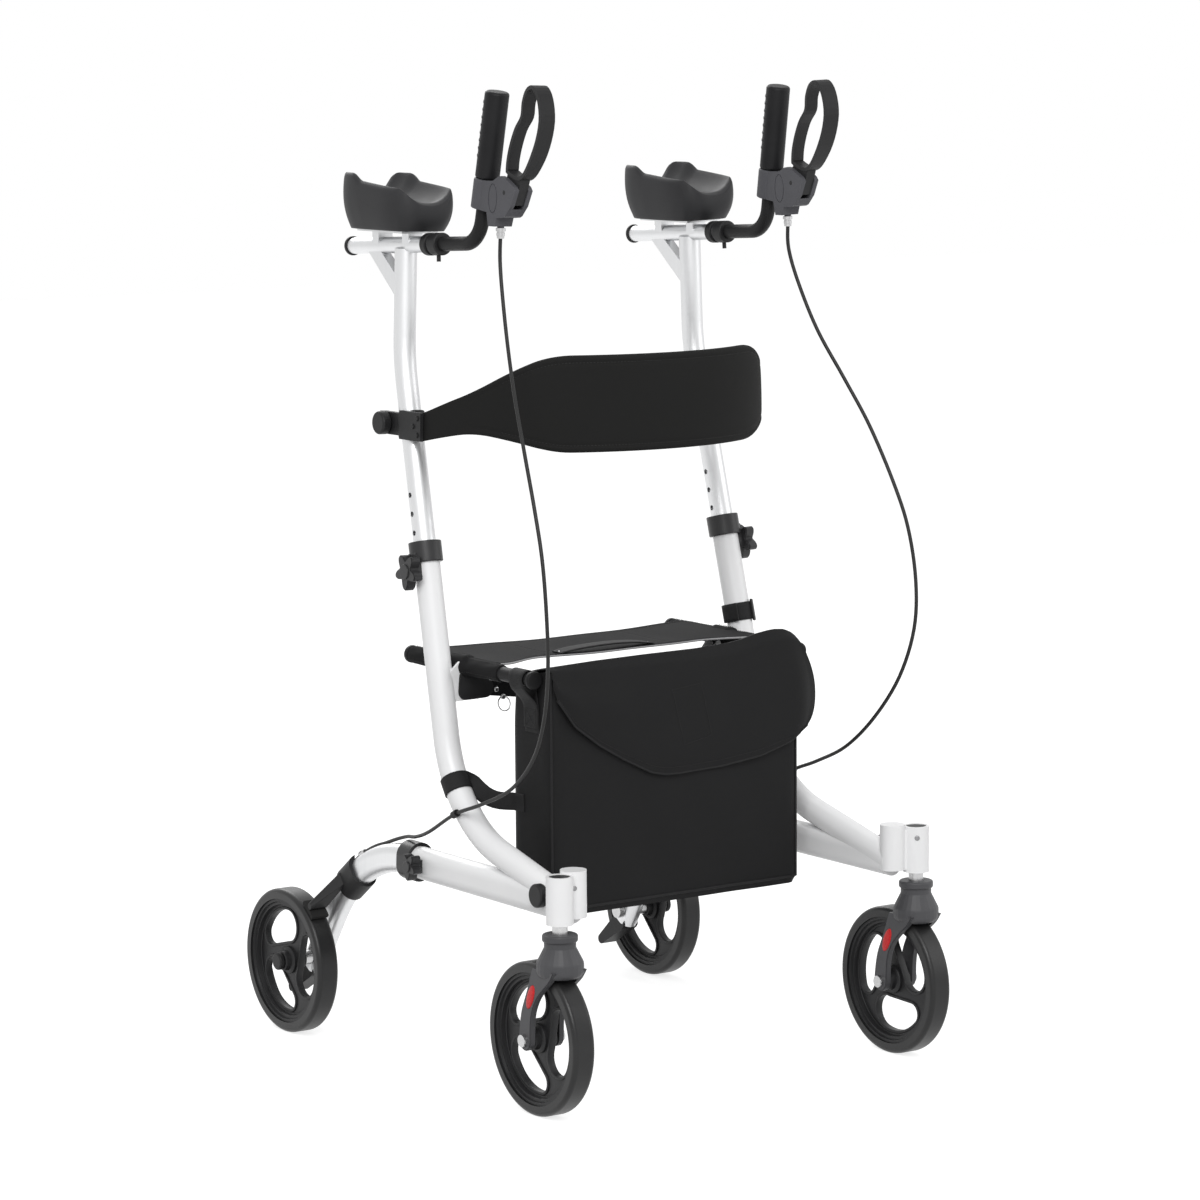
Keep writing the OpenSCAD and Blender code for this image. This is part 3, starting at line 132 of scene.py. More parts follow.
class Finish:
    """A procedural material on the Principled shader."""

    def __init__(self, name, **constants):
        self.material = bpy.data.materials.new(name)
        self.material.use_nodes = True
        self.tree = self.material.node_tree
        self.shader = self.tree.nodes["Principled BSDF"]
        for socket, value in constants.items():
            self.shader.inputs[socket.replace("_", " ")].default_value = value

    def node(self, kind, settings=None, sockets=None, output=0):
        made = self.tree.nodes.new(kind)
        for key, value in (settings or {}).items():
            setattr(made, key, value)
        for key, value in (sockets or {}).items():
            if isinstance(value, Value):
                self.tree.links.new(value.socket, made.inputs[key])
            else:
                made.inputs[key].default_value = value
        return Value(self, made.outputs[output])

    def place(self, stretch=(1, 1, 1)):
        at = self.node("ShaderNodeTexCoord", output="Object")
        return self.node("ShaderNodeMapping", {}, {"Vector": at, "Scale": stretch})

    def noise(self, at, scale, detail):
        return self.node("ShaderNodeTexNoise", {}, {"Vector": at, "Scale": scale, "Detail": detail})

    def cells(self, at, scale):
        return self.node("ShaderNodeTexVoronoi", {}, {"Vector": at, "Scale": scale})

    def between(self, value, low, high):
        return self.node("ShaderNodeMapRange", {}, {0: value, 1: low, 2: high})

    def mix(self, share, a, b):
        return self.node("ShaderNodeMix", {"data_type": "RGBA"}, {0: share, 6: (*a, 1), 7: (*b, 1)}, output=2)

    def weave_axes(self):
        uv = self.node("ShaderNodeUVMap", {"uv_map": "UVMap"})
        return [self.node("ShaderNodeSeparateXYZ", {}, {0: uv}, output=i) for i in (0, 1)]

    def feed(self, **sockets):
        for socket, value in sockets.items():
            self.tree.links.new(value.socket, self.shader.inputs[socket.replace("_", " ")])

    def relief(self, height, depth):
        bump = self.node("ShaderNodeBump", {}, {"Height": height, "Distance": depth, "Strength": 1.0})
        self.feed(Normal=bump)


def powder_coat(name, pale, deep, rough, coat=0.12, **constants):
    """Baked enamel: a faint orange peel, slow clouds of tone and a few rubbed patches."""
    peel = 650
    f = Finish(name, Coat_Weight=coat, Coat_Roughness=0.22, **constants)
    at = f.place()
    cloud = f.noise(at, 7, 3)
    rubbed = f.between(f.noise(at, 31, 5), 0.62, 0.78)
    f.feed(Base_Color=f.mix(f.between(cloud, 0.3, 0.75), pale, deep),
           Roughness=rough + 0.10 * (cloud - 0.5) + 0.12 * rubbed)
    f.relief(f.noise(at, peel, 1), 0.00005)
    return f


def brushed_metal(name, pale, deep, rough, stretch):
    """Drawn or anodised metal: fine streaks along the tube, and soft handling marks."""
    f = Finish(name, Metallic=1.0)
    streak = f.noise(f.place(stretch), 1.0, 4)
    smear = f.noise(f.place(), 24, 3)
    f.feed(Base_Color=f.mix(0.6 * streak + 0.4 * smear, pale, deep),
           Roughness=rough + 0.14 * (streak - 0.5) + 0.16 * (smear - 0.5))
    f.relief(streak, 0.00002)
    return f


def moulded(name, dark, pale, rough, grain, depth, gloss):
    """Moulded plastic or rubber with a spark-eroded grain and paler rubbed patches."""
    f = Finish(name, Specular_IOR_Level=gloss)
    at = f.place()
    cloud = f.noise(at, 14, 4)
    pebble = f.cells(at, grain)
    f.feed(Base_Color=f.mix(f.between(cloud, 0.35, 0.8), dark, pale),
           Roughness=rough + 0.16 * (cloud - 0.5) + 0.08 * pebble)
    f.relief(0.7 * pebble + 0.3 * f.noise(at, 2.3 * grain, 1), depth)
    return f


def woven(name, dark, pale, rough, pitch, depth, gloss):
    """Plain-weave cloth on the piece's own metres, with uneven dye and fuzz."""
    f = Finish(name, Specular_IOR_Level=gloss)
    u, v = f.weave_axes()
    turn = 2 * math.pi / (pitch * MM)
    warp, weft = (u * turn).sine(), (v * turn).sine()
    weave = 0.5 + 0.5 * (warp * weft)
    at = f.place()
    cloud = f.noise(at, 11, 4)
    fuzz = f.noise(at, 900, 2)
    f.feed(Base_Color=f.mix(0.35 * weave + 0.45 * cloud + 0.2 * fuzz, dark, pale),
           Roughness=rough + 0.12 * (cloud - 0.5) + 0.06 * weave)
    f.relief(0.8 * weave + 0.5 * fuzz, depth)
    return f


def webbing(name, dark, pale, rough, rib, depth):
    """Narrow woven strap: wavy ribs across its run, and fuzz."""
    f = Finish(name, Specular_IOR_Level=0.2)
    u, v = f.weave_axes()
    turn = 2 * math.pi / (rib * MM)
    ribs = 0.5 + 0.5 * (v * turn + (u * (turn * 0.7)).sine()).sine()
    fuzz = f.noise(f.place(), 700, 2)
    f.feed(Base_Color=f.mix(0.5 * ribs + 0.4 * fuzz, dark, pale), Roughness=rough + 0.1 * (ribs - 0.5))
    f.relief(ribs + 0.3 * fuzz, depth)
    return f


def prismatic(name, bright, deep):
    """Reflector: small prism cells under a clear skin."""
    f = Finish(name, Coat_Weight=0.15, Coat_Roughness=0.1, Specular_IOR_Level=0.25)
    prism = f.cells(f.place(), 420)
    f.feed(Base_Color=f.mix(prism, bright, deep), Roughness=0.3 + 0.2 * prism)
    f.relief(prism, 0.0002)
    return f


# How strongly the dull blacks mirror their surroundings
SOFT, DULL = 0.16, 0.26
white_enamel = powder_coat("white_enamel", (0.87, 0.87, 0.875), (0.825, 0.828, 0.835), 0.36)
black_enamel = powder_coat(
    "black_enamel", (0.012, 0.012, 0.0125), (0.008, 0.008, 0.0085), 0.48, coat=0.0, Specular_IOR_Level=SOFT)
satin_aluminium = brushed_metal(
    "satin_aluminium", (0.74, 0.745, 0.75), (0.66, 0.665, 0.675), 0.38, (520, 520, 9))
zinc_steel = brushed_metal("zinc_steel", (0.60, 0.60, 0.595), (0.42, 0.42, 0.43), 0.30, (300, 300, 300))
screw_steel = brushed_metal("screw_steel", (0.34, 0.34, 0.345), (0.20, 0.20, 0.205), 0.34, (300, 300, 300))
black_nylon = moulded(
    "black_nylon", (0.010, 0.010, 0.0105), (0.017, 0.017, 0.0178), 0.46, 1300, 0.00005, DULL)
collar_nylon = moulded(
    "collar_nylon", (0.022, 0.022, 0.023), (0.036, 0.036, 0.0375), 0.34, 1300, 0.00004, 0.36)
fork_nylon = moulded("fork_nylon", (0.062, 0.062, 0.066), (0.086, 0.086, 0.091), 0.42, 1300, 0.00005, DULL)
hub_nylon = moulded("hub_nylon", (0.014, 0.014, 0.0148), (0.022, 0.022, 0.023), 0.40, 1300, 0.00004, DULL)
charcoal_nylon = moulded(
    "charcoal_nylon", (0.070, 0.070, 0.078), (0.090, 0.090, 0.099), 0.50, 1500, 0.00006, DULL)
tyre_rubber = moulded("tyre_rubber", (0.011, 0.011, 0.0115), (0.020, 0.020, 0.020), 0.32, 800, 0.00004, 0.34)
shoe_rubber = moulded("shoe_rubber", (0.014, 0.014, 0.014), (0.028, 0.028, 0.027), 0.74, 600, 0.00010, SOFT)
grip_rubber = moulded("grip_rubber", (0.010, 0.010, 0.011), (0.018, 0.018, 0.019), 0.42, 1100, 0.00007, SOFT)
pad_skin = moulded("pad_skin", (0.020, 0.020, 0.0215), (0.029, 0.029, 0.031), 0.50, 950, 0.00007, DULL)
cable_sheath = moulded("cable_sheath", (0.014, 0.014, 0.014), (0.024, 0.024, 0.024), 0.38, 900, 0.00003, DULL)
seat_weave = woven("seat_weave", (0.009, 0.009, 0.0094), (0.018, 0.018, 0.0185), 0.74, 2.4, 0.00012, 0.09)
band_knit = woven("band_knit", (0.008, 0.008, 0.008), (0.0135, 0.0135, 0.013), 0.80, 1.6, 0.00008, SOFT)
bag_cloth = woven("bag_cloth", (0.0065, 0.0065, 0.0068), (0.0125, 0.0125, 0.013), 0.66, 1.5, 0.00010, SOFT)
black_webbing = webbing("black_webbing", (0.009, 0.009, 0.0095), (0.020, 0.020, 0.0205), 0.66, 1.9, 0.00022)
black_thread = webbing("black_thread", (0.014, 0.014, 0.014), (0.030, 0.030, 0.030), 0.6, 0.8, 0.00005)
# Light grey for the strips along the seat's front and rear edges: a painted highlight where the hem's edge
# catches the light
edge_highlight_grey = webbing("edge_highlight_grey", (0.26, 0.26, 0.265), (0.42, 0.42, 0.43), 0.5, 1.2, 0.00008)
red_reflector = prismatic("reflector_red", (0.72, 0.014, 0.016), (0.46, 0.006, 0.008))

FINISH_OF = {
    white_enamel: ("side_frame",),
    satin_aluminium: ("post", "rear_leg"),
    zinc_steel: ("rear_axle", "caster_bolts", "knee_pin"),
    black_enamel: ("seat_rail", "handle_bar", "brace_link"),
    charcoal_nylon: ("brake_housing",),
    tyre_rubber: ("front_tyre", "rear_tyre"),
    shoe_rubber: ("brake_shoe",),
    grip_rubber: ("grip",),
    fork_nylon: ("caster_fork",),
    collar_nylon: ("height_collar", "height_knob", "leg_collar", "leg_knob"),
    black_nylon: ("frame_plugs", "tip_pedal", "front_hub", "rear_hub", "brake_bracket", "bar_clamp",
                  "backrest_clamp", "brake_lever"),
}


def dress_solids():
    for finish, names in FINISH_OF.items():
        for node in [n for name in names for n in (name, f"left_{name}", f"right_{name}")]:
            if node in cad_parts:
                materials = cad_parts[node].data.materials
                materials.clear()
                materials.append(finish.material)


dress_solids()

# Making meshes


def unit(v):
    v = np.asarray(v, float)
    return v / np.maximum(np.linalg.norm(v, axis=-1, keepdims=True), 1e-9)


def ease(f):
    g = np.clip(f, 0, 1)
    return g * g * (3 - 2 * g)


def side_axes():
    """Outboard and upward in the left frame's leaning plane."""
    c, s = math.cos(TILT), math.sin(TILT)
    return np.array([c, 0, s]), np.array([-s, 0, c])


def on_side(u, y, h):
    """A place in a side frame's leaning plane: outboard u, along y, up h from the lower rail's axis."""
    out, up = side_axes()
    return np.array([RAIL_X, y, RAIL_Z]) + u * out + h * up


def smooth_run(points, steps):
    """A smooth curve through the points, some steps to each gap."""
    p = np.array(points, float)
    n = len(p)
    run = []
    for i in range(n - 1):
        a, b, c, d = p[max(i - 1, 0)], p[i], p[i + 1], p[min(i + 2, n - 1)]
        for t in np.arange(steps) / steps:
            bend = (2 * a - 5 * b + 4 * c - d) * t**2 + (3 * b - a - 3 * c + d) * t**3
            run.append(0.5 * (2 * b + (c - a) * t + bend))
    return np.array(run + [p[-1]])


def skin(rings, ends="flat"):
    """Points, faces and corner UVs (metres) of a surface through closed rings of equal count.

    Each end is one flat face, a strip of quads for a thin sheet, or open.
    """
    rings = np.array(rings, float)
    m, n, _ = rings.shape
    around = np.concatenate([rings, rings[:, :1]], axis=1)
    step_u = np.linalg.norm(np.diff(around, axis=1), axis=2).mean(0)
    step_v = np.linalg.norm(np.diff(rings, axis=0), axis=2).mean(1)
    u, v = (np.concatenate([[0], np.cumsum(s)]) * MM for s in (step_u, step_v))
    faces, corners = [], []
    for i in range(m - 1):
        for k in range(n):
            q = (k + 1) % n
            faces.append((i * n + k, i * n + q, (i + 1) * n + q, (i + 1) * n + k))
            corners.append(((u[k], v[i]), (u[k + 1], v[i]), (u[k + 1], v[i + 1]), (u[k], v[i + 1])))
    for first in (0, (m - 1) * n):
        if ends == "flat":
            faces.append(tuple(range(first, first + n)))
            corners.append(tuple((u[k], v[0] + 0.01 * math.sin(k)) for k in range(n)))
        if ends == "strip":
            for k in range(n // 2 - 1):
                quad = (k, k + 1, n - 2 - k, n - 1 - k)
                faces.append(tuple(first + j for j in quad))
                corners.append(tuple((u[min(j, n - 1 - j)], MM * (j > n // 2)) for j in quad))
    return rings.reshape(-1, 3), faces, corners


def slab(rows, thick):
    """A sheet of cloth through rows of points, with rounded long edges."""
    rows = np.array(rows, float)
    along_row, down = np.gradient(rows, axis=1), np.gradient(rows, axis=0)
    normal = unit(np.cross(along_row, down)) * thick / 2
    first, last = unit(along_row[:, :1]) * thick / 2, unit(along_row[:, -1:]) * thick / 2
    high, low = rows + normal, rows - normal
    rings = np.concatenate([rows[:, :1] - first, high, rows[:, -1:] + last, low[:, ::-1]], axis=1)
    return skin(np.roll(rings, -1, axis=1), ends="strip")


def ribbon(path, across, wide, thick):
    """A flat strap along a path, with its width in the given direction at each point."""
    path, across = np.array(path, float), np.broadcast_to(np.array(across, float), np.shape(path))
    run = np.gradient(path, axis=0)
    across = unit(across - run * (np.sum(across * run, 1) / np.sum(run * run, 1))[:, None])
    rows = path[:, None] + across[:, None] * np.linspace(-0.5, 0.5, 7)[None, :, None] * wide
    return slab(rows, thick)


def tube(path, d, sides=14):
    """A round tube along a path, turned as little as it can be."""
    path = np.array(path, float)
    run = unit(np.gradient(path, axis=0))
    a = unit(np.cross(run[0], [0.3, 0.2, 1.0] if abs(run[0][2]) < 0.9 else [1.0, 0.2, 0.0]))
    rings = []
    for p, t in zip(path, run):
        a = unit(a - t * np.dot(a, t))
        b = np.cross(t, a)
        turns = np.linspace(0, 2 * math.pi, sides, endpoint=False)
        rings.append(p + d / 2 * (np.cos(turns)[:, None] * a + np.sin(turns)[:, None] * b))
    return skin(rings)


def piece(name, made, finish, side=1, smooth=50):
    """An object at the origin from points in millimetres, its faces outward; side -1 is the mirror image."""
    points, faces, corners = made
    mesh = bpy.data.meshes.new(name)
    mesh.from_pydata((np.array(points) * MM * (side, 1, 1)).tolist(), [], [tuple(f) for f in faces])
    layer = mesh.uv_layers.new(name="UVMap")
    layer.data.foreach_set("uv", [x for face in corners for uv in face for x in uv])
    shape = bmesh.new()
    shape.from_mesh(mesh)
    bmesh.ops.remove_doubles(shape, verts=shape.verts, dist=1e-6)
    bmesh.ops.recalc_face_normals(shape, faces=shape.faces)
    shape.to_mesh(mesh)
    shape.free()
    mesh.polygons.foreach_set("use_smooth", [True] * len(mesh.polygons))
    mesh.set_sharp_from_angle(angle=math.radians(smooth))
    mesh.materials.append(finish.material)
    obj = bpy.data.objects.new(name, mesh)
    bpy.context.scene.collection.objects.link(obj)
    return obj


def finer(obj):
    """One round of subdivision, left live on the piece."""
    change = obj.modifiers.new("finer", "SUBSURF")
    change.levels = change.render_levels = 1
    return obj


def joined(*made):
    """Several point sets as one."""
    points, faces, corners = [], [], []
    for p, f, c in made:
        start = sum(len(q) for q in points)
        points.append(np.array(p))
        faces += [tuple(i + start for i in face) for face in f]
        corners += list(c)
    return np.concatenate(points), faces, corners


# Repeats by Geometry Nodes


def node_tree(name, inputs):
    tree = bpy.data.node_groups.new(name, "GeometryNodeTree")
    tree.interface.new_socket("Geometry", in_out="OUTPUT", socket_type="NodeSocketGeometry")
    tree.interface.new_socket("Geometry", in_out="INPUT", socket_type="NodeSocketGeometry")
    for label, kind in inputs:
        tree.interface.new_socket(label, in_out="INPUT", socket_type=kind)
    start, end = tree.nodes.new("NodeGroupInput"), tree.nodes.new("NodeGroupOutput")

    def add(kind, settings=None, sockets=None, output=0):
        made = tree.nodes.new(kind)
        for key, value in (settings or {}).items():
            setattr(made, key, value)
        for key, value in (sockets or {}).items():
            if isinstance(value, bpy.types.NodeSocket):
                tree.links.new(value, made.inputs[key])
            else:
                made.inputs[key].default_value = value
        return made.outputs[output]

    def close(geometry):
        real = add("GeometryNodeRealizeInstances", {}, {0: geometry})
        painted = add("GeometryNodeSetMaterial", {}, {0: real, "Material": start.outputs["Finish"]})
        tree.links.new(painted, end.inputs[0])

    return tree, start.outputs, add, close


def stitch_tree():
    """Stitches laid end to end along curves: small grains of thread, aimed along the seam."""
    tree, given, add, close = node_tree("stitch_rows", [
        ("Step", "NodeSocketFloat"), ("Length", "NodeSocketFloat"), ("Thread", "NodeSocketFloat"),
        ("Finish", "NodeSocketMaterial")])
    run = add("GeometryNodeResampleCurve", {"mode": "LENGTH"},
              {"Curve": given["Geometry"], "Length": given["Step"]})
    grain = add("GeometryNodeMeshUVSphere", {}, {"Segments": 6, "Rings": 4, "Radius": 0.5})
    size = add("ShaderNodeCombineXYZ", {}, {0: given["Length"], 1: given["Thread"], 2: given["Thread"]})
    grain = add("GeometryNodeTransform", {}, {"Geometry": grain, "Scale": size})
    aim = add("FunctionNodeAlignRotationToVector", {"axis": "X"}, {"Vector": add("GeometryNodeInputTangent")})
    close(add("GeometryNodeInstanceOnPoints", {}, {"Points": run, "Instance": grain, "Rotation": aim}))
    return tree


def stud_tree():
    """Domed heads with a key socket, set on points, each along its own direction: rivets and screw heads."""
    tree, given, add, close = node_tree("stud_heads", [
        ("Diameter", "NodeSocketFloat"), ("Height", "NodeSocketFloat"), ("Socket", "NodeSocketFloat"),
        ("Finish", "NodeSocketMaterial")])

    def times(label, share):
        return add("ShaderNodeMath", {"operation": "MULTIPLY"}, {0: given[label], 1: share})

    def lifted(share):
        return add("ShaderNodeCombineXYZ", {}, {2: times("Height", share)})

    rim = add("GeometryNodeMeshCylinder", {}, {
        "Vertices": 24, "Side Segments": 1, "Radius": times("Diameter", 0.5), "Depth": given["Height"]})
    wide = times("Diameter", 0.92)
    size = add("ShaderNodeCombineXYZ", {}, {0: wide, 1: wide, 2: times("Height", 1.2)})
    dome = add("GeometryNodeMeshUVSphere", {}, {"Segments": 24, "Rings": 12, "Radius": 0.5})
    dome = add("GeometryNodeTransform", {}, {"Geometry": dome, "Scale": size, "Translation": lifted(0.42)})
    key = add("GeometryNodeMeshCylinder", {}, {
        "Vertices": 6, "Radius": times("Socket", 0.5), "Depth": given["Height"]})
    key = add("GeometryNodeTransform", {}, {"Geometry": key, "Translation": lifted(0.95)})
    head = add("GeometryNodeJoinGeometry")
    for part in (rim, dome):
        tree.links.new(part, head.node.inputs[0])
    solid = add("GeometryNodeMeshBoolean", {"operation": "DIFFERENCE", "solver": "EXACT"}, {"Mesh 1": head})
    tree.links.new(key, solid.node.inputs["Mesh 2"])
    way = add("GeometryNodeInputNamedAttribute", {"data_type": "FLOAT_VECTOR"}, {"Name": "aim"})
    aim = add("FunctionNodeAlignRotationToVector", {"axis": "Z"}, {"Vector": way})
    close(add("GeometryNodeInstanceOnPoints", {}, {
        "Points": given["Geometry"], "Instance": solid, "Rotation": aim}))
    return tree


STITCHES, STUDS = stitch_tree(), stud_tree()


def grown(name, seed, tree, finish, **sizes):
    """The plain mesh that a tree grows on a seed object."""
    bpy.context.scene.collection.objects.link(seed)
    change = seed.modifiers.new(tree.name, "NODES")
    change.node_group = tree
    keys = {item.name: item.identifier for item in tree.interface.items_tree if item.in_out == "INPUT"}
    for label, value in sizes.items():
        change[keys[label]] = value * MM
    change[keys["Finish"]] = finish.material
    seed.data.update_tag()
    bpy.context.view_layer.update()
    ready = seed.evaluated_get(bpy.context.evaluated_depsgraph_get())
    mesh = bpy.data.meshes.new_from_object(ready)
    mesh.name = name
    bpy.data.objects.remove(seed)
    obj = bpy.data.objects.new(name, mesh)
    mesh.polygons.foreach_set("use_smooth", [True] * len(mesh.polygons))
    mesh.set_sharp_from_angle(angle=math.radians(40))
    bpy.context.scene.collection.objects.link(obj)
    return obj


def stitched(name, runs, side=1, step=4.2, length=3.0, thread=0.9):
    """Rows of stitches along runs of points in millimetres."""
    data = bpy.data.curves.new(name + "_runs", "CURVE")
    data.dimensions = "3D"
    for run in runs:
        line = data.splines.new("POLY")
        line.points.add(len(run) - 1)
        at = np.array(run, float) * MM * (side, 1, 1)
        line.points.foreach_set("co", np.c_[at, np.ones(len(at))].ravel())
    return grown(name, bpy.data.objects.new(name + "_seed", data), STITCHES, black_thread,
                 Step=step, Length=length, Thread=thread)


def studded(name, spots, finish, diameter, height, socket=0.0, side=1):
    """Domed heads at (place, direction) pairs in millimetres."""
    places, ways = (np.array(part, float) * (side, 1, 1) for part in zip(*spots))
    mesh = bpy.data.meshes.new(name + "_spots")
    mesh.from_pydata((places * MM).tolist(), [], [])
    aim = mesh.attributes.new("aim", "FLOAT_VECTOR", "POINT")
    aim.data.foreach_set("vector", ways.ravel())
    return grown(name, bpy.data.objects.new(name + "_seed", mesh), STUDS, finish,
                 Diameter=diameter, Height=height, Socket=socket)


def lay(obj, body):
    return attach(obj, body)


# Brake cables, on the route of the solids

CABLE_D = 5
CABLE_ROUTE = [
    (231.1, -133, 1114.9), (232.2, -133, 1080.9), (238, -147, 1035), (249, -175, 972), (264, -213, 910),
    (277, -252, 848), (287, -290, 776), (293, -315, 715), (296, -328, 645), (294, -327, 580),
    (286, -306, 514), (276, -265, 455), (272, -208, 408), (274, -140, 378), (276.8, -80.8, 357.0),
    (271.9, -10, 322.5), (263.9, 36, 307.5), (258, 67, 302.3), (257.3, 94.9, 294.6), (257.6, 124.3, 284.5),
    (257.8, 141.1, 279.4), (258, 157.5, 273.1), (258.2, 173.3, 265.7), (258.5, 188.7, 257.2),
]
# The route's points where its two lengths join and where the clip holds the lower one
JOIN_POINT, CLIP_POINT = 5, 14
CABLE_STEPS = 6


def brake_cables():
    run = smooth_run(CABLE_ROUTE, CABLE_STEPS)
    join = JOIN_POINT * CABLE_STEPS
    clip = CLIP_POINT * CABLE_STEPS - join
    halves = {"upper": (run[:join + 1], "post", "handle"), "lower": (run[join:], "frame", "post")}
    for side, s in SIDES.items():
        for part, (path, far, near) in halves.items():
            cable = piece(f"{side}_{part}_cable", tube(path, CABLE_D), cable_sheath, s)
            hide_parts(f"{side}_brake_cable")
            place = path * MM * (s, 1, 1)
            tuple(place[0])
            stop = place[-1] if part == "upper" else place[clip]
            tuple(place[0])
            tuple(stop)
            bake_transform(cable)


brake_cables()

# Forearm pads

PAD_W, PAD_L, PAD_H = 100, 166, 78
PAD_Y, PAD_PLATE_Z = 116, 1112
# How much of the pad's height and plan is left at each step down its outer wall, and the plan at its base
PAD_WALL = ((0.93, 1.005), (0.8, 1.012), (0.6, 1.01), (0.4, 0.985), (0.22, 0.94), (0.08, 0.885))
PAD_BASE = 0.855


def pad_top(a, b):
    """The pad's upper face over its plan: a across and b along, both from -1 to 1."""
    floor = PAD_H * (0.45 + 0.05 * ease((np.abs(b) - 0.6) / 0.4))
    wall = PAD_H * (0.75 + 0.11 * np.minimum((b + 1) / 1.2, 1) + 0.14 * ease((b - 0.2) / 0.35))
    top = floor + np.minimum(np.abs(a) / 0.9, 1) ** 2.4 * (wall - floor)
    return top - (7 * ease((np.abs(a) - 0.84) / 0.16) ** 1.5 + 5 * ease((np.abs(b) - 0.86) / 0.14) ** 1.5)


def forearm_pad():
    """A moulded trough: high ears at the rear, a U in the front wall, sides that belly over a small base."""
    cols, rows = 32, 44
    a, b = np.meshgrid(np.linspace(-1, 1, cols + 1), np.linspace(-1, 1, rows + 1))
    x, y = PAD_W / 2 * a * np.sqrt(1 - 0.3 * b**4), PAD_L / 2 * b * np.sqrt(1 - 0.3 * a**4)
    grid = np.stack([x, y, pad_top(a, b)], -1).reshape(-1, 3)
    edge = ([(0, i) for i in range(cols)] + [(j, cols) for j in range(rows)]
            + [(rows, i) for i in range(cols, 0, -1)] + [(j, 0) for j in range(rows, 0, -1)])
    loop = [j * (cols + 1) + i for j, i in edge]
    points, rings, start = [grid], [loop], len(grid)
    for share, draw in PAD_WALL:
        points.append(grid[loop] * (draw, draw, share))
        rings.append(list(range(start, start + len(loop))))
        start += len(loop)
    points.append(np.stack([PAD_BASE * x, PAD_BASE * y, 0 * x], -1).reshape(-1, 3))
    rings.append([start + k for k in loop])
    faces = []
    for j in range(rows):
        for i in range(cols):
            k = j * (cols + 1) + i
            quad = (k, k + 1, k + cols + 2, k + cols + 1)
            faces += [quad, tuple(start + q for q in quad[::-1])]
    for one, two in zip(rings, rings[1:]):
        for k in range(len(loop)):
            q = (k + 1) % len(loop)
            faces.append((one[k], two[k], two[q], one[q]))
    points = np.concatenate(points)
    corners = [tuple((points[k][1] * MM, (points[k][0] + points[k][2]) * MM) for k in f) for f in faces]
    base = on_side(0, PAD_Y, (PAD_PLATE_Z - RAIL_Z) / math.cos(TILT))
    out, up = side_axes()
    placed = base + points[:, :1] * out + points[:, 1:2] * np.array([0, 1, 0]) + points[:, 2:] * up
    return placed, faces, corners


def forearm_pads():
    for side, s in SIDES.items():
        pad = finer(piece(f"{side}_arm_pad", forearm_pad(), pad_skin, s, smooth=75))
        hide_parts(f"{side}_forearm_pad")
        lay(pad, f"{side}_post")


forearm_pads()

# Seat sling: three panels over the folding brace, sleeves on the rails

SEAT_TOP, SEAT_THICK, SEAT_HALF, PANEL_HALF = 552.3, 2.4, 212, 95
SEAT_FRONT, SEAT_REAR = -58, 90
SEAT_MIDDLE = (SEAT_FRONT + SEAT_REAR) / 2
SLEEVE_FRONT, SLEEVE_REAR, SLEEVE_R = -103, 113, 11.0
PULL_FROM, PULL_TO, PULL_Y = -90, 62, -46


def seat_height(x, y):
    """The top of the sling: sagging between the rails, with a raised hem and shallow creases."""
    f = np.clip(np.abs(x) / SEAT_HALF, 0, 1)
    away = np.abs(y - SEAT_MIDDLE)
    hem = ease((away - 66) / 5) * (1 - ease((away - 71) / 3))
    sag = 1.2 + 5 * (1 - f**2)
    return SEAT_TOP - sag + 0.7 * hem - 0.5 * np.cos(y / 19) * (1 - f) + 0.35 * np.sin(x / 23)


def seat_front(x):
    """The sling's front edge: straight in the middle, sweeping forward to the sleeves."""
    return SEAT_FRONT - 36 * ease((np.abs(x) - 118) / 92) ** 1.3


def seat_panel(x0, x1, cols):
    straight = -22
    y = np.concatenate([
        np.linspace(SEAT_FRONT, SEAT_FRONT + 10, 7), np.linspace(SEAT_FRONT + 14, SEAT_REAR - 14, 30),
        np.linspace(SEAT_REAR - 10, SEAT_REAR, 7)])
    x = x0 + np.linspace(0, 1, cols) * (x1 - x0)
    rows = []
    for yy in y:
        ahead = (seat_front(x) - SEAT_FRONT) * np.clip((straight - yy) / (straight - SEAT_FRONT), 0, 1)
        rows.append(np.stack([x, yy + ahead, seat_height(x, yy)], -1))
    return slab(rows, SEAT_THICK)


def sleeve_swell(y):
    """How much fuller a sleeve is where it covers the seat bracket."""
    return 3.2 * (1 - ease((abs(y - BRACKET_Y) - 16) / 7))


def seat_sleeve(phase):
    """The hem round a rail: creased along, drawn in at its ends, and full where it covers the bracket."""
    turns = np.linspace(0, 2 * math.pi, 40, endpoint=False)
    rings = []
    for y in np.linspace(SLEEVE_FRONT, SLEEVE_REAR, 90):
        edge = ease((min(y - SLEEVE_FRONT, SLEEVE_REAR - y)) / 5)
        creases = 0.35 * np.sin(5 * turns + 0.05 * y + phase) * edge + 0.25 * np.sin(y / 7 + 3 * turns)
        seam = 1.1 * np.exp(-((turns - math.pi) / 0.25) ** 2)
        r = SLEEVE_R + 0.8 * edge + creases + sleeve_swell(y) + seam
        x, z = SEAT_RAIL_X + r * np.cos(turns), SEAT_RAIL_Z + r * np.sin(turns)
        rings.append(np.stack([x, 0 * turns + y, z], -1))
    return skin(rings)


def bend_panel(obj):
    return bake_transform(obj)


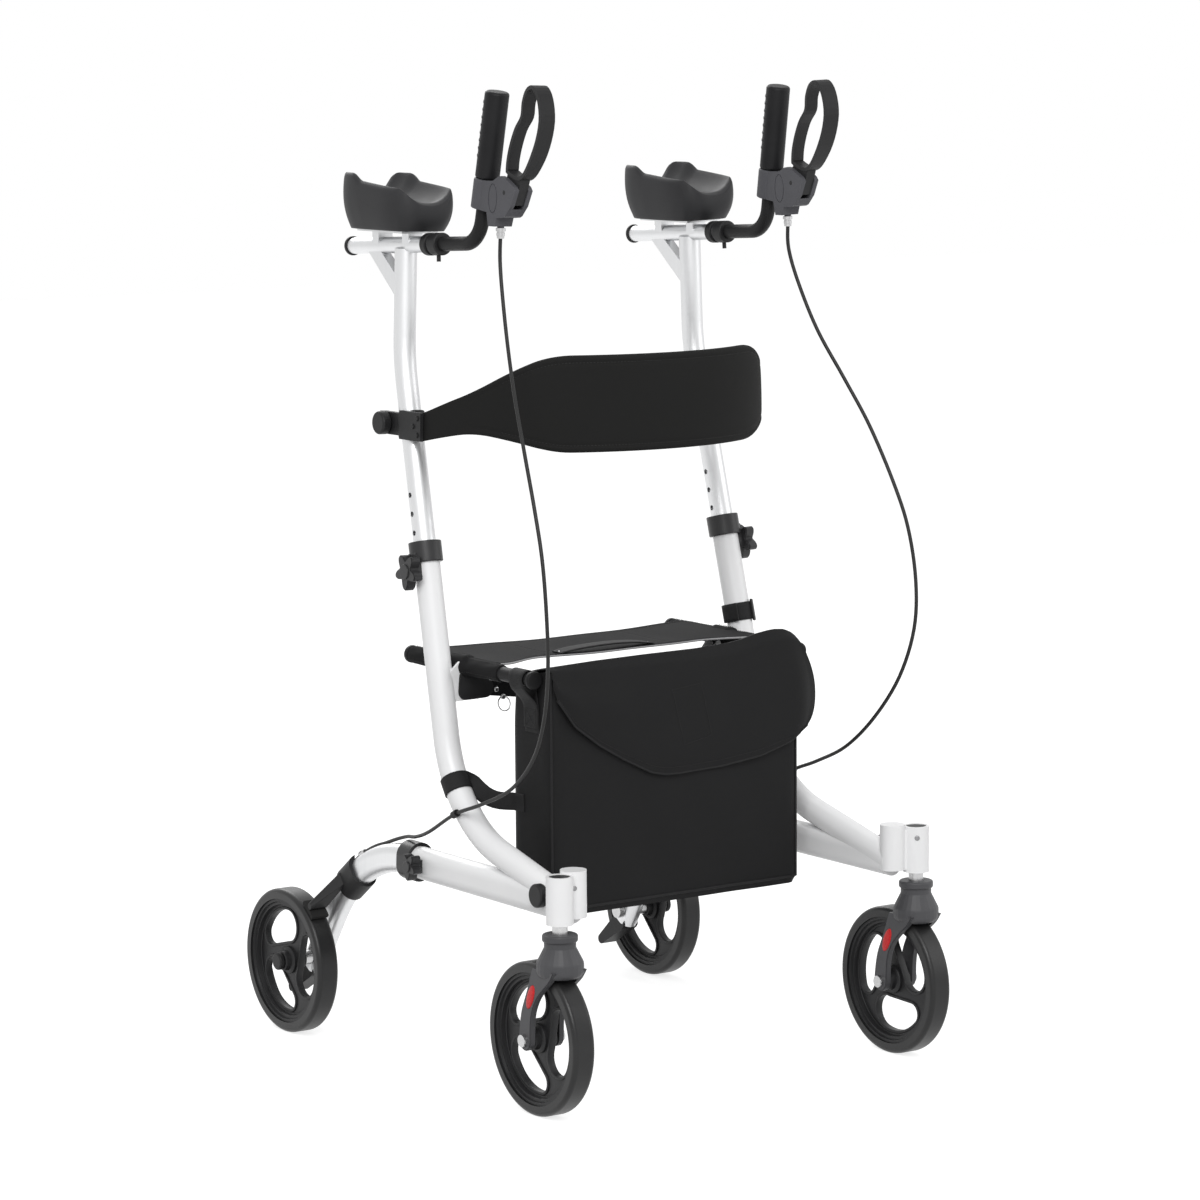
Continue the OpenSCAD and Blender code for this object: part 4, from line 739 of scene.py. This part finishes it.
def seat_panels():
    spans = {
        "left": (SEAT_HALF, PANEL_HALF, "left_frame", "left_link", 200, 120),
        "middle": (PANEL_HALF, -PANEL_HALF, "left_link", "right_link", 90, -90),
        "right": (-PANEL_HALF, -SEAT_HALF, "right_link", "right_frame", -120, -200),
    }
    for name, (x0, x1, a, b, start, end_x) in spans.items():
        panel = piece(f"{name}_seat_panel", seat_panel(x0, x1, 40), seat_weave)
        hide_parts("seat_sling")
        bend_panel(panel)
        x = np.linspace(x0, x1, 40)
        edges = [np.stack([x, seat_front(x), seat_height(x, SEAT_FRONT)], -1),
                 np.stack([x, 0 * x + SEAT_REAR, seat_height(x, SEAT_REAR)], -1)]
        for end, edge in zip(("front", "rear"), edges):
            # Light grey strips along the sling's front and rear edges, standing in for the light on the hem's
            # edge: a painted highlight
            edge_highlight = piece(f"{name}_seat_{end}_piping", tube(edge, 2.6, 8), edge_highlight_grey)
            bend_panel(edge_highlight)
        rows = [edges[0] + (0, 9, 1.3), edges[1] + (0, -9, 1.3)]
        bend_panel(stitched(f"{name}_seat_hem", rows))


def seat_sleeves():
    run = np.linspace(SLEEVE_FRONT + 2, SLEEVE_REAR - 2, 60)
    for side, s in SIDES.items():
        sleeve = piece(f"{side}_whole_seat_sleeve", seat_sleeve(s + SLEEVE_FRONT), seat_weave, s)
        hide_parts("seat_sling")
        lay(sleeve, f"{side}_frame")
        rows = []
        for turn in (1.9, 1.3, -0.5):
            radii = [SLEEVE_R + 1.1 + sleeve_swell(y) for y in run]
            rows.append([(SEAT_RAIL_X + r * math.cos(turn), y, SEAT_RAIL_Z + r * math.sin(turn))
                         for r, y in zip(radii, run)])
        lay(stitched(f"{side}_whole_sleeve_seams", rows, s), f"{side}_frame")


def seat_pull():
    """A strap loosely arched over the middle panel, riveted at both ends."""
    x = np.linspace(PULL_FROM, PULL_TO, 40)
    arch = np.sin(math.pi * (x - PULL_FROM) / (PULL_TO - PULL_FROM)) ** 0.7
    pull = np.stack([x, PULL_Y + 0 * x, seat_height(x, PULL_Y) + 2.4 + 7 * arch], -1)
    strap = piece("seat_pull_strap", ribbon(pull, (0, 1, 0), 22, 2.0), black_webbing)
    bend_panel(strap)
    spots = [((x, PULL_Y, seat_height(np.array(x), PULL_Y) + 3.2), (0, 0, 1))
             for x in (PULL_FROM + 6.0, PULL_TO - 6.0)]
    bend_panel(studded("seat_pull_rivets", spots, zinc_steel, 9, 1.6))


seat_panels()
seat_sleeves()
seat_pull()

# Backrest

BAND_DEEP = 216
SEAM_INSET = 9.5


def band_line(turn):
    """Centre, outward direction, half height and half thickness of the backrest at a turn round its plan."""
    t = math.degrees(min(turn, math.pi - turn))
    near = np.clip(t + np.linspace(-6, 6, 9), 0, None)
    slow, fast = 0.19 * (near / 25) ** 1.2, np.minimum(0.19 + 0.81 * (near - 25) / 26, 1)
    share = np.where(near < 25, slow, fast).mean()
    rise = 37 * ease(t / 50) ** 0.6
    centre = np.array([CLAMP_X * np.cos(turn), CLAMP_Y - BAND_DEEP * np.sin(turn), CLAMP_Z + rise])
    out = unit(np.array([np.cos(turn) / CLAMP_X, -np.sin(turn) / BAND_DEEP, 0]))
    return centre, out, (37 + 90 * share) / 2, (3 + 11 * ease((np.sin(turn) - 0.2) / 0.5)) / 2


def band_face(turn, q, face, behind=0.0):
    """A point of the backrest: q from -1 at the bottom edge to 1 at the top, face -1 inside, 1 outside."""
    c, out, h, t = band_line(turn)
    rim = h * (1 - abs(q))
    full = min(1, math.sqrt(max(0, 1 - (1 - min(rim / max(t, 2.0), 1)) ** 2)) + 0.02)
    seam = ease((h - 22) / 20) * 1.4 * math.exp(-((rim - SEAM_INSET) / 2.2) ** 2)
    crown = 1.5 * ease((h - 25) / 30) * (1 - q * q)
    p = c + np.array([0, behind, h * q]) + out * (0.35 * t + face * (full * (t - 0.3) - seam + crown))
    p[0] *= 1 - (p[2] - CLAMP_Z) * math.tan(TILT) / CLAMP_X
    return p


def backrest():
    q = -np.cos(np.linspace(0, math.pi, 41))
    turns = [(0.0, 24.0), (0.0, 12.0)] + [(t, 0.0) for t in np.linspace(0, math.pi, 141)]
    turns += [(math.pi, 12.0), (math.pi, 24.0)]
    rings = []
    for t, w in turns:
        rings.append([band_face(t, k, 1, w) for k in q[1:-1]] + [band_face(t, k, -1, w) for k in q[::-1]])
    band = piece("backrest_pad", skin(rings), band_knit, smooth=80)
    seams = []
    for face in (1, -1):
        for edge in (1, -1):
            run = []
            for t in np.linspace(0.62, math.pi - 0.62, 120):
                _, out, h, _ = band_line(t)
                run.append(band_face(t, edge * (1 - SEAM_INSET / h), face) + out * face * 0.2)
            seams.append(run)
    rows = stitched("backrest_seams", seams, step=4.6, length=3.4)
    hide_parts("backrest_band")
    for obj in (band, rows):
        lay(obj, "left_post")
        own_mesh(obj)


backrest()

# Storage bag

BAG_LEFT, BAG_FRONT, BAG_BACK, BAG_LOW, BAG_TOP = 202, -195, -102, 227, 530
BAG_CORNER_R = 13.0
FOLD_LEVEL = 556


def bag_side(z):
    """How far the bag is drawn in at a height."""
    f = (z - BAG_LOW) / (BAG_TOP - BAG_LOW)
    return 3 * (1 - ease(f / 0.03)) + 1.5 * ease((f - 0.8) / 0.2)


def bag_wall(z, turns=112):
    """One level of the bag: slack panels between piped corners, higher at the front than at the back."""
    f = (z - BAG_LOW) / (BAG_TOP - BAG_LOW)
    inset = bag_side(z)
    x, y0, y1, r = BAG_LEFT - inset, BAG_FRONT + inset, BAG_BACK - inset, BAG_CORNER_R
    t = np.arange(turns) / turns
    wide, deep = 2 * (x - r), (y1 - y0) - 2 * r
    arc = math.pi * r / 2
    total = 2 * wide + 2 * deep + 4 * arc
    runs = ((wide, "front"), (arc, 0), (deep, "left"), (arc, 1),
            (wide, "back"), (arc, 2), (deep, "right"), (arc, 3))
    centres = ((x - r, y0 + r), (x - r, y1 - r), (-x + r, y1 - r), (-x + r, y0 + r))
    points = []
    for s in t * total:
        for run, here in runs:
            if s < run:
                break
            s -= run
        g = s / run
        slack = math.sin(math.pi * g) ** 0.6 if isinstance(here, str) else 0
        sag = slack * (2.6 * math.sin(math.pi * f) ** 0.7 + 0.9 * math.sin(9 * f + 7 * g) * (1 - f)
                       + 0.6 * math.sin(23 * g + 11 * f))
        if here == "front":
            p = (-x + r + s, y0 - sag)
        elif here == "left":
            p = (x + 0.4 * sag, y0 + r + s)
        elif here == "back":
            p = (x - r - s, y1 + 0.5 * sag)
        elif here == "right":
            p = (-x - 0.4 * sag, y1 - r - s)
        else:
            cx, cy = centres[here]
            a = -math.pi / 2 + here * math.pi / 2 + g * math.pi / 2
            p = (cx + r * math.cos(a), cy + r * math.sin(a))
        forward = np.clip((BAG_BACK - p[1]) / (BAG_BACK - BAG_FRONT), 0, 1)
        top = BAG_TOP + (FOLD_LEVEL - BAG_TOP) * (1 - (1 - forward) ** 1.25) - 3
        points.append((*p, BAG_LOW + f * (top - BAG_LOW)))
    return points


FLAP_HALF, FLAP_BACK_Z = 203, 532
# How much of the flap lies before its fold
FOLD_SHARE = 0.36
# The flap's hem and its fold over the bag's front edge, as (x, z) pairs
FLAP_LOW = [
    (-203, 536), (-197, 518), (-168, 479), (-128, 450), (-90, 428), (-48, 407), (-25, 402), (0, 401),
    (66, 403), (132, 411), (183, 425), (203, 438),
]
FLAP_FOLD = [
    (-203, 556), (-126, 559), (-46, 560.5), (35, 561), (85, 563), (108, 566), (134, 572), (160, 575.5),
    (178, 574), (194, 567), (203, 556),
]


def flap_point(s, t):
    """The flap: s from -1 to 1 across, t from 0 behind the bag's top, over the fold, to 1 at its hem."""
    x = FLAP_HALF * s
    back, front = BAG_BACK + 1, BAG_FRONT + 3
    fold = float(np.interp(x, *zip(*FLAP_FOLD)))
    if t < FOLD_SHARE:
        f = t / FOLD_SHARE
        y = back + f * (front - back)
        sag = 2 * (1 - s * s) * math.sin(math.pi * f)
        return np.array([x, y, FLAP_BACK_Z + (fold - FLAP_BACK_Z) * (1 - (1 - f) ** 1.25) - sag])
    f = (t - FOLD_SHARE) / (1 - FOLD_SHARE)
    low = float(np.interp(x, *zip(*FLAP_LOW)))
    y = front - 7 * ease(f / 0.07) - 3.5 * math.sin(math.pi * f) - 3 * f
    y -= 1.2 * math.sin(8 * s + 3 * f) * f + 0.8 * math.sin(17 * s - 4 * f) * f * (1 - f)
    y -= 0.8 * math.sin(5 * s + 9 * f) * math.sin(math.pi * f)
    bulge = 31 * ease((s - 0.60) / 0.40) * math.sqrt(max(0, math.sin(math.pi * f ** 1.6)))
    z = fold - f * (fold - low) - 1.5 * ease(f / 0.07)
    return np.array([x + bulge, y + 0.5 * bulge * ease((s - 0.85) / 0.15), z])


def on_bag(obj):
    lay(obj, "left_frame")
    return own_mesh(obj)


def bag_body():
    levels = np.concatenate([
        np.linspace(BAG_LOW, BAG_LOW + 18, 7), np.linspace(BAG_LOW + 28, BAG_TOP - 20, 30),
        np.linspace(BAG_TOP - 14, BAG_TOP, 4)])
    bag = piece("bag_body", skin([bag_wall(z) for z in levels]), bag_cloth, smooth=60)
    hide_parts("storage_bag")
    on_bag(bag)


def bag_flap():
    across = np.linspace(-1, 1, 61)
    down = np.concatenate([
        np.linspace(0, FOLD_SHARE - 0.02, 10), np.linspace(FOLD_SHARE, FOLD_SHARE + 0.08, 7),
        np.linspace(FOLD_SHARE + 0.12, 1, 24)])
    rows = [[flap_point(s, t) for s in across] for t in down]
    flap = piece("bag_flap", slab(rows, 2.6), bag_cloth, smooth=60)
    on_bag(flap)
    hem = [flap_point(s, 1.0) for s in across]
    on_bag(piece("bag_flap_binding", tube(smooth_run(hem[1:-1], 2), 3.6, 10), black_webbing))
    seams = [[flap_point(s, 0.965) + np.array([0, -1.6, 0]) for s in np.linspace(-0.97, 0.97, 60)]]
    box = [(-0.07, 0.55), (0.16, 0.53), (0.24, 0.82), (0.02, 0.85), (-0.07, 0.55)]
    outline = np.concatenate([np.linspace(p, q, 12) for p, q in zip(box, box[1:])])
    seams.append([flap_point(s, t) + np.array([0, -1.5, 0]) for s, t in outline])
    on_bag(stitched("bag_flap_seams", seams, step=3.6, length=2.6, thread=0.8))


def bag_piping():
    """Piping round the bag's foot and up its front corners."""
    foot = BAG_LOW + 9
    ring = bag_wall(foot)
    on_bag(piece("bag_low_piping", tube(ring + ring[:1], 4.0, 8), black_webbing))
    for side, s in SIDES.items():
        corner = []
        for z in np.linspace(foot, FOLD_LEVEL - 8, 40):
            inset = 3.5 + bag_side(z)
            corner.append((BAG_LEFT - inset, BAG_FRONT + inset, z))
        on_bag(piece(f"{side}_bag_piping", tube(corner, 3.6, 8), black_webbing, s))


bag_body()
bag_flap()
bag_piping()

# Straps that hold the bag

WEB_THICK = 1.7


def hoop(centre, along, radius, start, finish, steps):
    """A run round a tube by turns in degrees: 0 outboard, 90 to the rear, 180 inboard, 270 to the front."""
    along = unit(along)
    a = unit(np.array([1.0, 0, 0]) - along * along[0])
    b = np.cross(along, a)
    turns = np.radians(np.linspace(start, finish, steps))
    return np.array(centre) + radius * (np.cos(turns)[:, None] * a + np.sin(turns)[:, None] * b)


def bag_loop(side, s):
    """Webbing from the bag's side up over the seat rail and back, sewn to itself with a crossed box."""
    over_r, seam_x = 11.2, 206.7
    over = [(SEAT_RAIL_X + over_r * math.cos(t), -149, SEAT_RAIL_Z + over_r * math.sin(t))
            for t in np.linspace(math.pi, -0.55, 22)]
    up = [(203.7, -155 + 6 * ease((z - 490) / 40), z) for z in (468, 476, 484, 492, 500, 510, 520, 530)]
    back = [(222.5, -150, 527), (215, -151.5, 518), (208.5, -153, 510), (206.0, -154.5, 502),
            (205.7, -155, 494), (205.7, -155, 484), (205.7, -155, 474)]
    path = smooth_run(up + over + back, 2)
    web = piece(f"{side}_bag_loop", ribbon(path, (0, 1, 0), 31, WEB_THICK), black_webbing, s)
    lay(web, f"{side}_frame")
    box = [(seam_x, y, z) for y, z in ((-167, 476), (-143, 476), (-143, 499), (-167, 499), (-167, 476))]
    rows = [np.concatenate([np.linspace(p, q, 8) for p, q in zip(box, box[1:])]),
            np.linspace(box[0], box[2], 12), np.linspace(box[1], box[3], 12)]
    seams = stitched(f"{side}_bag_loop_seams", rows, s, step=3.0, length=2.2, thread=0.9)
    lay(seams, f"{side}_frame")


def upright_strap():
    """The strap from the bag's back corner round the right upright."""
    centre, along = (254.2, -50.6, 389.0), np.array([-0.032, 0.583, 0.812])
    ring = hoop(centre, along, 18.7, 226, 535, 44)
    run = [(203.6, -134, 371), (203.7, -120, 370.5), (204.2, -108, 370), (210, -98, 369.5), (219, -88, 371),
           (228, -77, 377), (236, -68.5, 387)]
    path = smooth_run(np.concatenate([run, ring]), 2)
    share = ease((np.arange(len(path)) - 6) / 12)[:, None]
    across = (1 - share) * np.array([0, 0.05, 1.0]) + share * along
    strap = piece("right_upright_strap", ribbon(path, across, 22, WEB_THICK), black_webbing, -1)
    lay(strap, "right_frame")


def spare_strap():
    """The other strap, wound round the left upright below the height collar, with its tail turned back."""
    centre, along = (248.5, 5.7, 570.0), np.array([-0.033, 0.2375, 1.0])
    ring = np.concatenate([hoop(centre, along, 18.7, 150, 500, 50), hoop(centre, along, 20.8, 508, 560, 10)])
    tail = ring[-1] + unit(ring[-1] - ring[-3]) * np.array([[4.0], [9.0], [14.0]])
    path = np.concatenate([ring, tail])
    lay(piece("left_upright_strap", ribbon(path, along, 23, 1.8), black_webbing), "left_frame")
    lock = hoop(centre, along, 21.6, -62, -22, 9)
    lay(piece("left_strap_slide", ribbon(lock, along, 28, 2.6), black_nylon), "left_frame")


for side, s in SIDES.items():
    bag_loop(side, s)
upright_strap()
spare_strap()

# Wheel hubs


def plate(loops, half, edge):
    """A flat plate with openings and rounded edges: loops of (along y, up) pairs, the first its outline."""
    data = bpy.data.curves.new("outline", "CURVE")
    data.dimensions, data.fill_mode = "2D", "BOTH"
    data.extrude, data.bevel_depth, data.bevel_resolution, data.offset = half - edge, edge, 2, -edge
    for loop in loops:
        line = data.splines.new("POLY")
        line.points.add(len(loop) - 1)
        line.points.foreach_set("co", np.c_[loop, np.zeros(len(loop)), np.ones(len(loop))].ravel())
        line.use_cyclic_u = True
    shape = bpy.data.objects.new("outline", data)
    bpy.context.scene.collection.objects.link(shape)
    bpy.context.view_layer.update()
    mesh = bpy.data.meshes.new_from_object(shape.evaluated_get(bpy.context.evaluated_depsgraph_get()))
    points = np.array([(v.co.z, v.co.x, v.co.y) for v in mesh.vertices])
    faces = [tuple(p.vertices) for p in mesh.polygons]
    bpy.data.objects.remove(shape)
    bpy.data.meshes.remove(mesh)
    return points, faces, [tuple((points[k][1] * MM, points[k][2] * MM) for k in f) for f in faces]


def revolved(profile, sides=72):
    """A ring turned about the x axis from a closed profile of (along x, radius) pairs."""
    profile = np.array(profile, float)
    rings = [np.stack([profile[:, 0], profile[:, 1] * math.cos(t), profile[:, 1] * math.sin(t)], -1)
             for t in np.linspace(0, 2 * math.pi, sides + 1)]
    return skin(rings, ends="open")


def wheel_way(turn):
    """A direction in a wheel's plane as (y, z): from the front up and over the top."""
    return np.array([-math.cos(math.radians(turn)), math.sin(math.radians(turn))])


def hub_opening(turn, grow):
    """One opening of a hub: round and wide by one spoke, narrowing along the rim to the next."""
    far, wide, thin, span = 70.0, 22.0, 13.5, 60.0
    outer = [(far + grow) * wheel_way(turn + span * k / 20) for k in range(21)]
    tip_at = (far - thin) * wheel_way(turn + span)
    tip = [tip_at + (thin + grow) * wheel_way(turn + span + a) for a in range(12, 133, 12)]
    low = (far - 2 * wide - grow) * wheel_way(turn)
    inner = [tip[-1] + (low - tip[-1]) * k / 12 for k in range(1, 13)]
    end_at = (far - wide) * wheel_way(turn)
    end = [end_at + (wide + grow) * wheel_way(turn + a) for a in range(190, 360, 10)]
    return np.array(outer + tip + inner + end)


def both_ways(half_profile):
    """A profile of (along x, radius) pairs from its middle outwards, with its mirror image."""
    return [(-x, r) for x, r in half_profile[::-1]] + list(half_profile)


def wheel_hub(turn):
    """A disc with three lipped openings, a stepped rim under the tyre, and a boss round the axle."""
    half = 16.9
    thirds = [turn + a for a in (0, 120, 240)]
    circle = [82 * wheel_way(a) for a in range(0, 360, 4)]
    hole = [14 * wheel_way(a) for a in range(0, 360, 10)]
    parts = [plate([circle, *[hub_opening(a, 0) for a in thirds], hole], 3.4, 0.7)]
    parts += [plate([hub_opening(a, 3.6), hub_opening(a, -0.2)], 5.2, 0.8) for a in thirds]
    rim = [(4.8, 73.8), (5.5, 74.5), (5.5, 76.5), (10.5, 77.5), (10.5, 81), (13.5, 82), (13.5, 85.8)]
    boss = [(6.6, 19.2), (7.6, 18.4), (9, 14.2), (half - 1.2, 13.4), (half, 12), (half, HUB_BORE)]
    parts += [revolved(both_ways(rim), 120), revolved(both_ways(boss))]
    return joined(*parts)


def wheel_hubs():
    front_turn = {"left": 135, "right": 95}
    for side, s in SIDES.items():
        front = ("front", CASTER_X, FRONT_AXLE_Y, front_turn[side])
        rear = ("rear", REAR_WHEEL_X, REAR_AXLE_Y, 91)
        for end, x, y, turn in (front, rear):
            points, faces, corners = wheel_hub(turn)
            placed = (points + (x, y, AXLE_Z), faces, corners)
            hub = piece(f"{side}_{end}_wheel_hub", placed, hub_nylon, s, smooth=35)
            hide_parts(f"{side}_{end}_hub")
            lay(hub, f"{side}_{end}_wheel")


wheel_hubs()

# Side plates of the seat brackets


def bracket_cover():
    """Outline of a seat bracket's black side plate, as (x, z) pairs round three corners."""
    spots = [((PIVOT_X, PIVOT_Z), 12.4), ((218.8, PIVOT_Z - 1), 12.0), ((217.0, PIVOT_Z + 18), 12.0)]
    cloud = np.array([(x + r * math.cos(a), z + r * math.sin(a)) for (x, z), r in spots
                      for a in np.linspace(0, 2 * math.pi, 48, endpoint=False)])
    middle = cloud.mean(0)
    rim = []
    for a in np.linspace(0, 2 * math.pi, 72, endpoint=False):
        way = np.array([math.cos(a), math.sin(a)])
        fan = [np.array([math.cos(b), math.sin(b)]) for b in np.linspace(a - 1.4, a + 1.4, 57)]
        rim.append(middle + way * min(np.max((cloud - middle) @ n) / (n @ way) for n in fan))
    return rim


def bracket_covers():
    loop = bracket_cover()
    for side, s in SIDES.items():
        for end, y in COVER_Y.items():
            points, faces, corners = plate([loop], 1.0, 0.5)
            points = np.stack([points[:, 1], y + points[:, 0], points[:, 2]], -1)
            cover = piece(f"{side}_{end}_bracket_cover", (points, faces, corners), black_nylon, s, smooth=30)
            lay(cover, f"{side}_frame")


bracket_covers()

# Reflectors, cable ends, screws and the brace's pull ring

# Turned profiles of (distance along, radius) pairs
BARREL = [(0, 3.4), (0, 4.6), (3.2, 4.9), (3.4, 5.3), (7.4, 5.3), (7.6, 4.9), (9.4, 4.9), (9.5, 6.3),
          (13.4, 6.3), (13.6, 4.9)]
FERRULE = [(0, 3.0), (0, 4.0), (1, 4.3), (9, 4.3), (9.2, 5.2), (13, 5.2), (13.2, 4.0), (14.5, 3.4)]
BARREL_AT = (231.1, -133, 1110.4)
FERRULE_AT, FERRULE_WAY = (258.23, 175.1, 264.7), (0.017, 0.876, -0.483)
FORK_FACE = 26.5
LENS_Y, LENS_Z = -310.96, 159.3


def reflector(x, out):
    """A domed oval lens, sunk in the fork leg's face at x."""
    lean = math.radians(24)
    short = np.array([0, math.cos(lean), math.sin(lean)])
    tall = np.array([0, -math.sin(lean), math.cos(lean)])
    turns = np.linspace(0, 2 * math.pi, 40, endpoint=False)[:, None]
    oval = 7.2 * np.cos(turns) * short + 17.6 * np.sin(turns) * tall
    dome = ((0.97, -0.95), (1, -0.4), (0.985, 0.3), (0.9, 0.8), (0.62, 1.15), (0.3, 1.3))
    return skin([np.array([x + out * rise, LENS_Y, LENS_Z]) + share * oval for share, rise in dome])


def turned(at, along, profile, sides=28):
    """A piece turned on a lathe: (distance along, radius) pairs from a place."""
    along = unit(along)
    a = unit(np.cross(along, [0.3, 0.9, 0.2]))
    b = np.cross(along, a)
    turns = np.linspace(0, 2 * math.pi, sides, endpoint=False)[:, None]
    return skin([np.array(at) + d * along + r * (np.cos(turns) * a + np.sin(turns) * b) for d, r in profile])


def side_trims():
    """Reflectors on the forks, and the fittings at both ends of the brake cables."""
    _, up = side_axes()
    for side, s in SIDES.items():
        for face, out in {"outer": 1, "inner": -1}.items():
            shape = reflector(CASTER_X + FORK_FACE * out, out)
            lens = piece(f"{side}_{face}_reflector", shape, red_reflector, s)
            lay(lens, f"{side}_caster")
        barrel = piece(f"{side}_cable_barrel", turned(BARREL_AT, up, BARREL), zinc_steel, s, smooth=30)
        lay(barrel, f"{side}_handle")
        shape = turned(FERRULE_AT, FERRULE_WAY, FERRULE)
        lay(piece(f"{side}_cable_ferrule", shape, zinc_steel, s, smooth=30), f"{side}_frame")


def post_screws():
    """One screw head on the front of each end post."""
    right = [((RAIL_X + 8.5, END_POST_Y - 14.7, 299), (0.5, -0.86, 0))]
    left = [((278.2, -354.5, 303), (-0.56, -0.83, 0))]
    lay(studded("right_post_screw", right, screw_steel, 6.5, 1.2, 3, -1), "right_frame")
    lay(studded("left_post_screw", left, screw_steel, 7, 1.2, 3), "left_frame")


def brace_trims():
    """The split ring that lifts the brace, and the rivets of the right link."""
    ring_x, ring_y, ring_z, ring_r = -157, -17.2, 484, 9.5
    link_face, slope = -15.2, 0.14
    turns = np.linspace(0, 4 * math.pi - 0.8, 90)
    ring = np.stack([ring_x + ring_r * np.cos(turns), ring_y - 0.13 * turns + 2 * np.sin(turns),
                     ring_z + ring_r * np.sin(turns)], -1)
    lay(piece("right_brace_ring", tube(ring, 1.5, 8), zinc_steel), "right_link")
    heads = [(x, link_face, 505.7 + slope * (x + 158)) for x in (-168.0, -140.0, -112.0)]
    heads.append((ring_x, link_face, 493.4))
    spots = [(head, (0, -1, 0)) for head in heads]
    lay(studded("right_brace_rivets", spots, zinc_steel, 8, 2.6), "right_link")


side_trims()
post_screws()
brace_trims()

# Light and floor

STUDIO_AIM = (0, 0, 0.7)
# The white surroundings as they light the walker, and as they look
SKY_LIGHT, SKY_SEEN = 0.55, 1.0
FLOOR_GREY, FLOOR_GLOW, FLOOR_HALF = 0.5, 0.78, 14


def lamp(name, at, aim, size, power):
    data = bpy.data.lights.new(name, "AREA")
    data.size, data.energy = size, power
    obj = bpy.data.objects.new(name, data)
    obj.location = at
    obj.rotation_euler = (Vector(aim) - Vector(at)).to_track_quat("-Z", "Y").to_euler()
    bpy.context.scene.collection.objects.link(obj)


def seen_rays(tree):
    """1 for rays from the camera, from a reflection or through glass, and 0 for rays that only light."""
    path = tree.nodes.new("ShaderNodeLightPath")
    seen = path.outputs["Is Camera Ray"]
    for ray in ("Is Glossy Ray", "Is Transmission Ray"):
        more = tree.nodes.new("ShaderNodeMath")
        more.operation, more.use_clamp = "ADD", True
        tree.links.new(seen, more.inputs[0])
        tree.links.new(path.outputs[ray], more.inputs[1])
        seen = more.outputs[0]
    return seen


def studio_world():
    bpy.context.scene.view_settings.view_transform = "Standard"
    world = bpy.data.worlds.new("studio")
    bpy.context.scene.world = world
    world.use_nodes = True
    tree = world.node_tree
    sky = tree.nodes["Background"]
    sky.inputs["Color"].default_value = (1, 1, 1, 1)
    level = tree.nodes.new("ShaderNodeMapRange")
    level.inputs["To Min"].default_value = SKY_LIGHT
    level.inputs["To Max"].default_value = SKY_SEEN
    tree.links.new(seen_rays(tree), level.inputs["Value"])
    tree.links.new(level.outputs[0], sky.inputs["Strength"])


def floor_paint():
    """Matt grey, with a glow added where it is seen."""
    paint = bpy.data.materials.new("floor_paint")
    paint.use_nodes = True
    tree = paint.node_tree
    tree.nodes.clear()
    matt = tree.nodes.new("ShaderNodeBsdfDiffuse")
    matt.inputs["Color"].default_value = (FLOOR_GREY, FLOOR_GREY, FLOOR_GREY, 1)
    glow = tree.nodes.new("ShaderNodeEmission")
    glow.inputs["Strength"].default_value = FLOOR_GLOW
    both = tree.nodes.new("ShaderNodeAddShader")
    pick = tree.nodes.new("ShaderNodeMixShader")
    out = tree.nodes.new("ShaderNodeOutputMaterial")
    tree.links.new(matt.outputs[0], both.inputs[0])
    tree.links.new(glow.outputs[0], both.inputs[1])
    tree.links.new(seen_rays(tree), pick.inputs[0])
    tree.links.new(matt.outputs[0], pick.inputs[1])
    tree.links.new(both.outputs[0], pick.inputs[2])
    tree.links.new(pick.outputs[0], out.inputs["Surface"])
    return paint


def studio_floor():
    mesh = bpy.data.meshes.new("floor")
    corners = [(x * FLOOR_HALF, y * FLOOR_HALF, 0) for x, y in ((-1, -1), (1, -1), (1, 1), (-1, 1))]
    mesh.from_pydata(corners, [], [(0, 1, 2, 3)])
    mesh.materials.append(floor_paint())
    floor = bpy.data.objects.new("floor", mesh)
    bpy.context.scene.collection.objects.link(floor)


studio_world()
lamp("key", (-2.6, -3.4, 3.6), STUDIO_AIM, 2.6, 150)
lamp("fill", (3.4, -2.6, 2.2), STUDIO_AIM, 2.4, 30)
lamp("back", (0.8, 3.6, 3.0), STUDIO_AIM, 2.4, 60)
studio_floor()
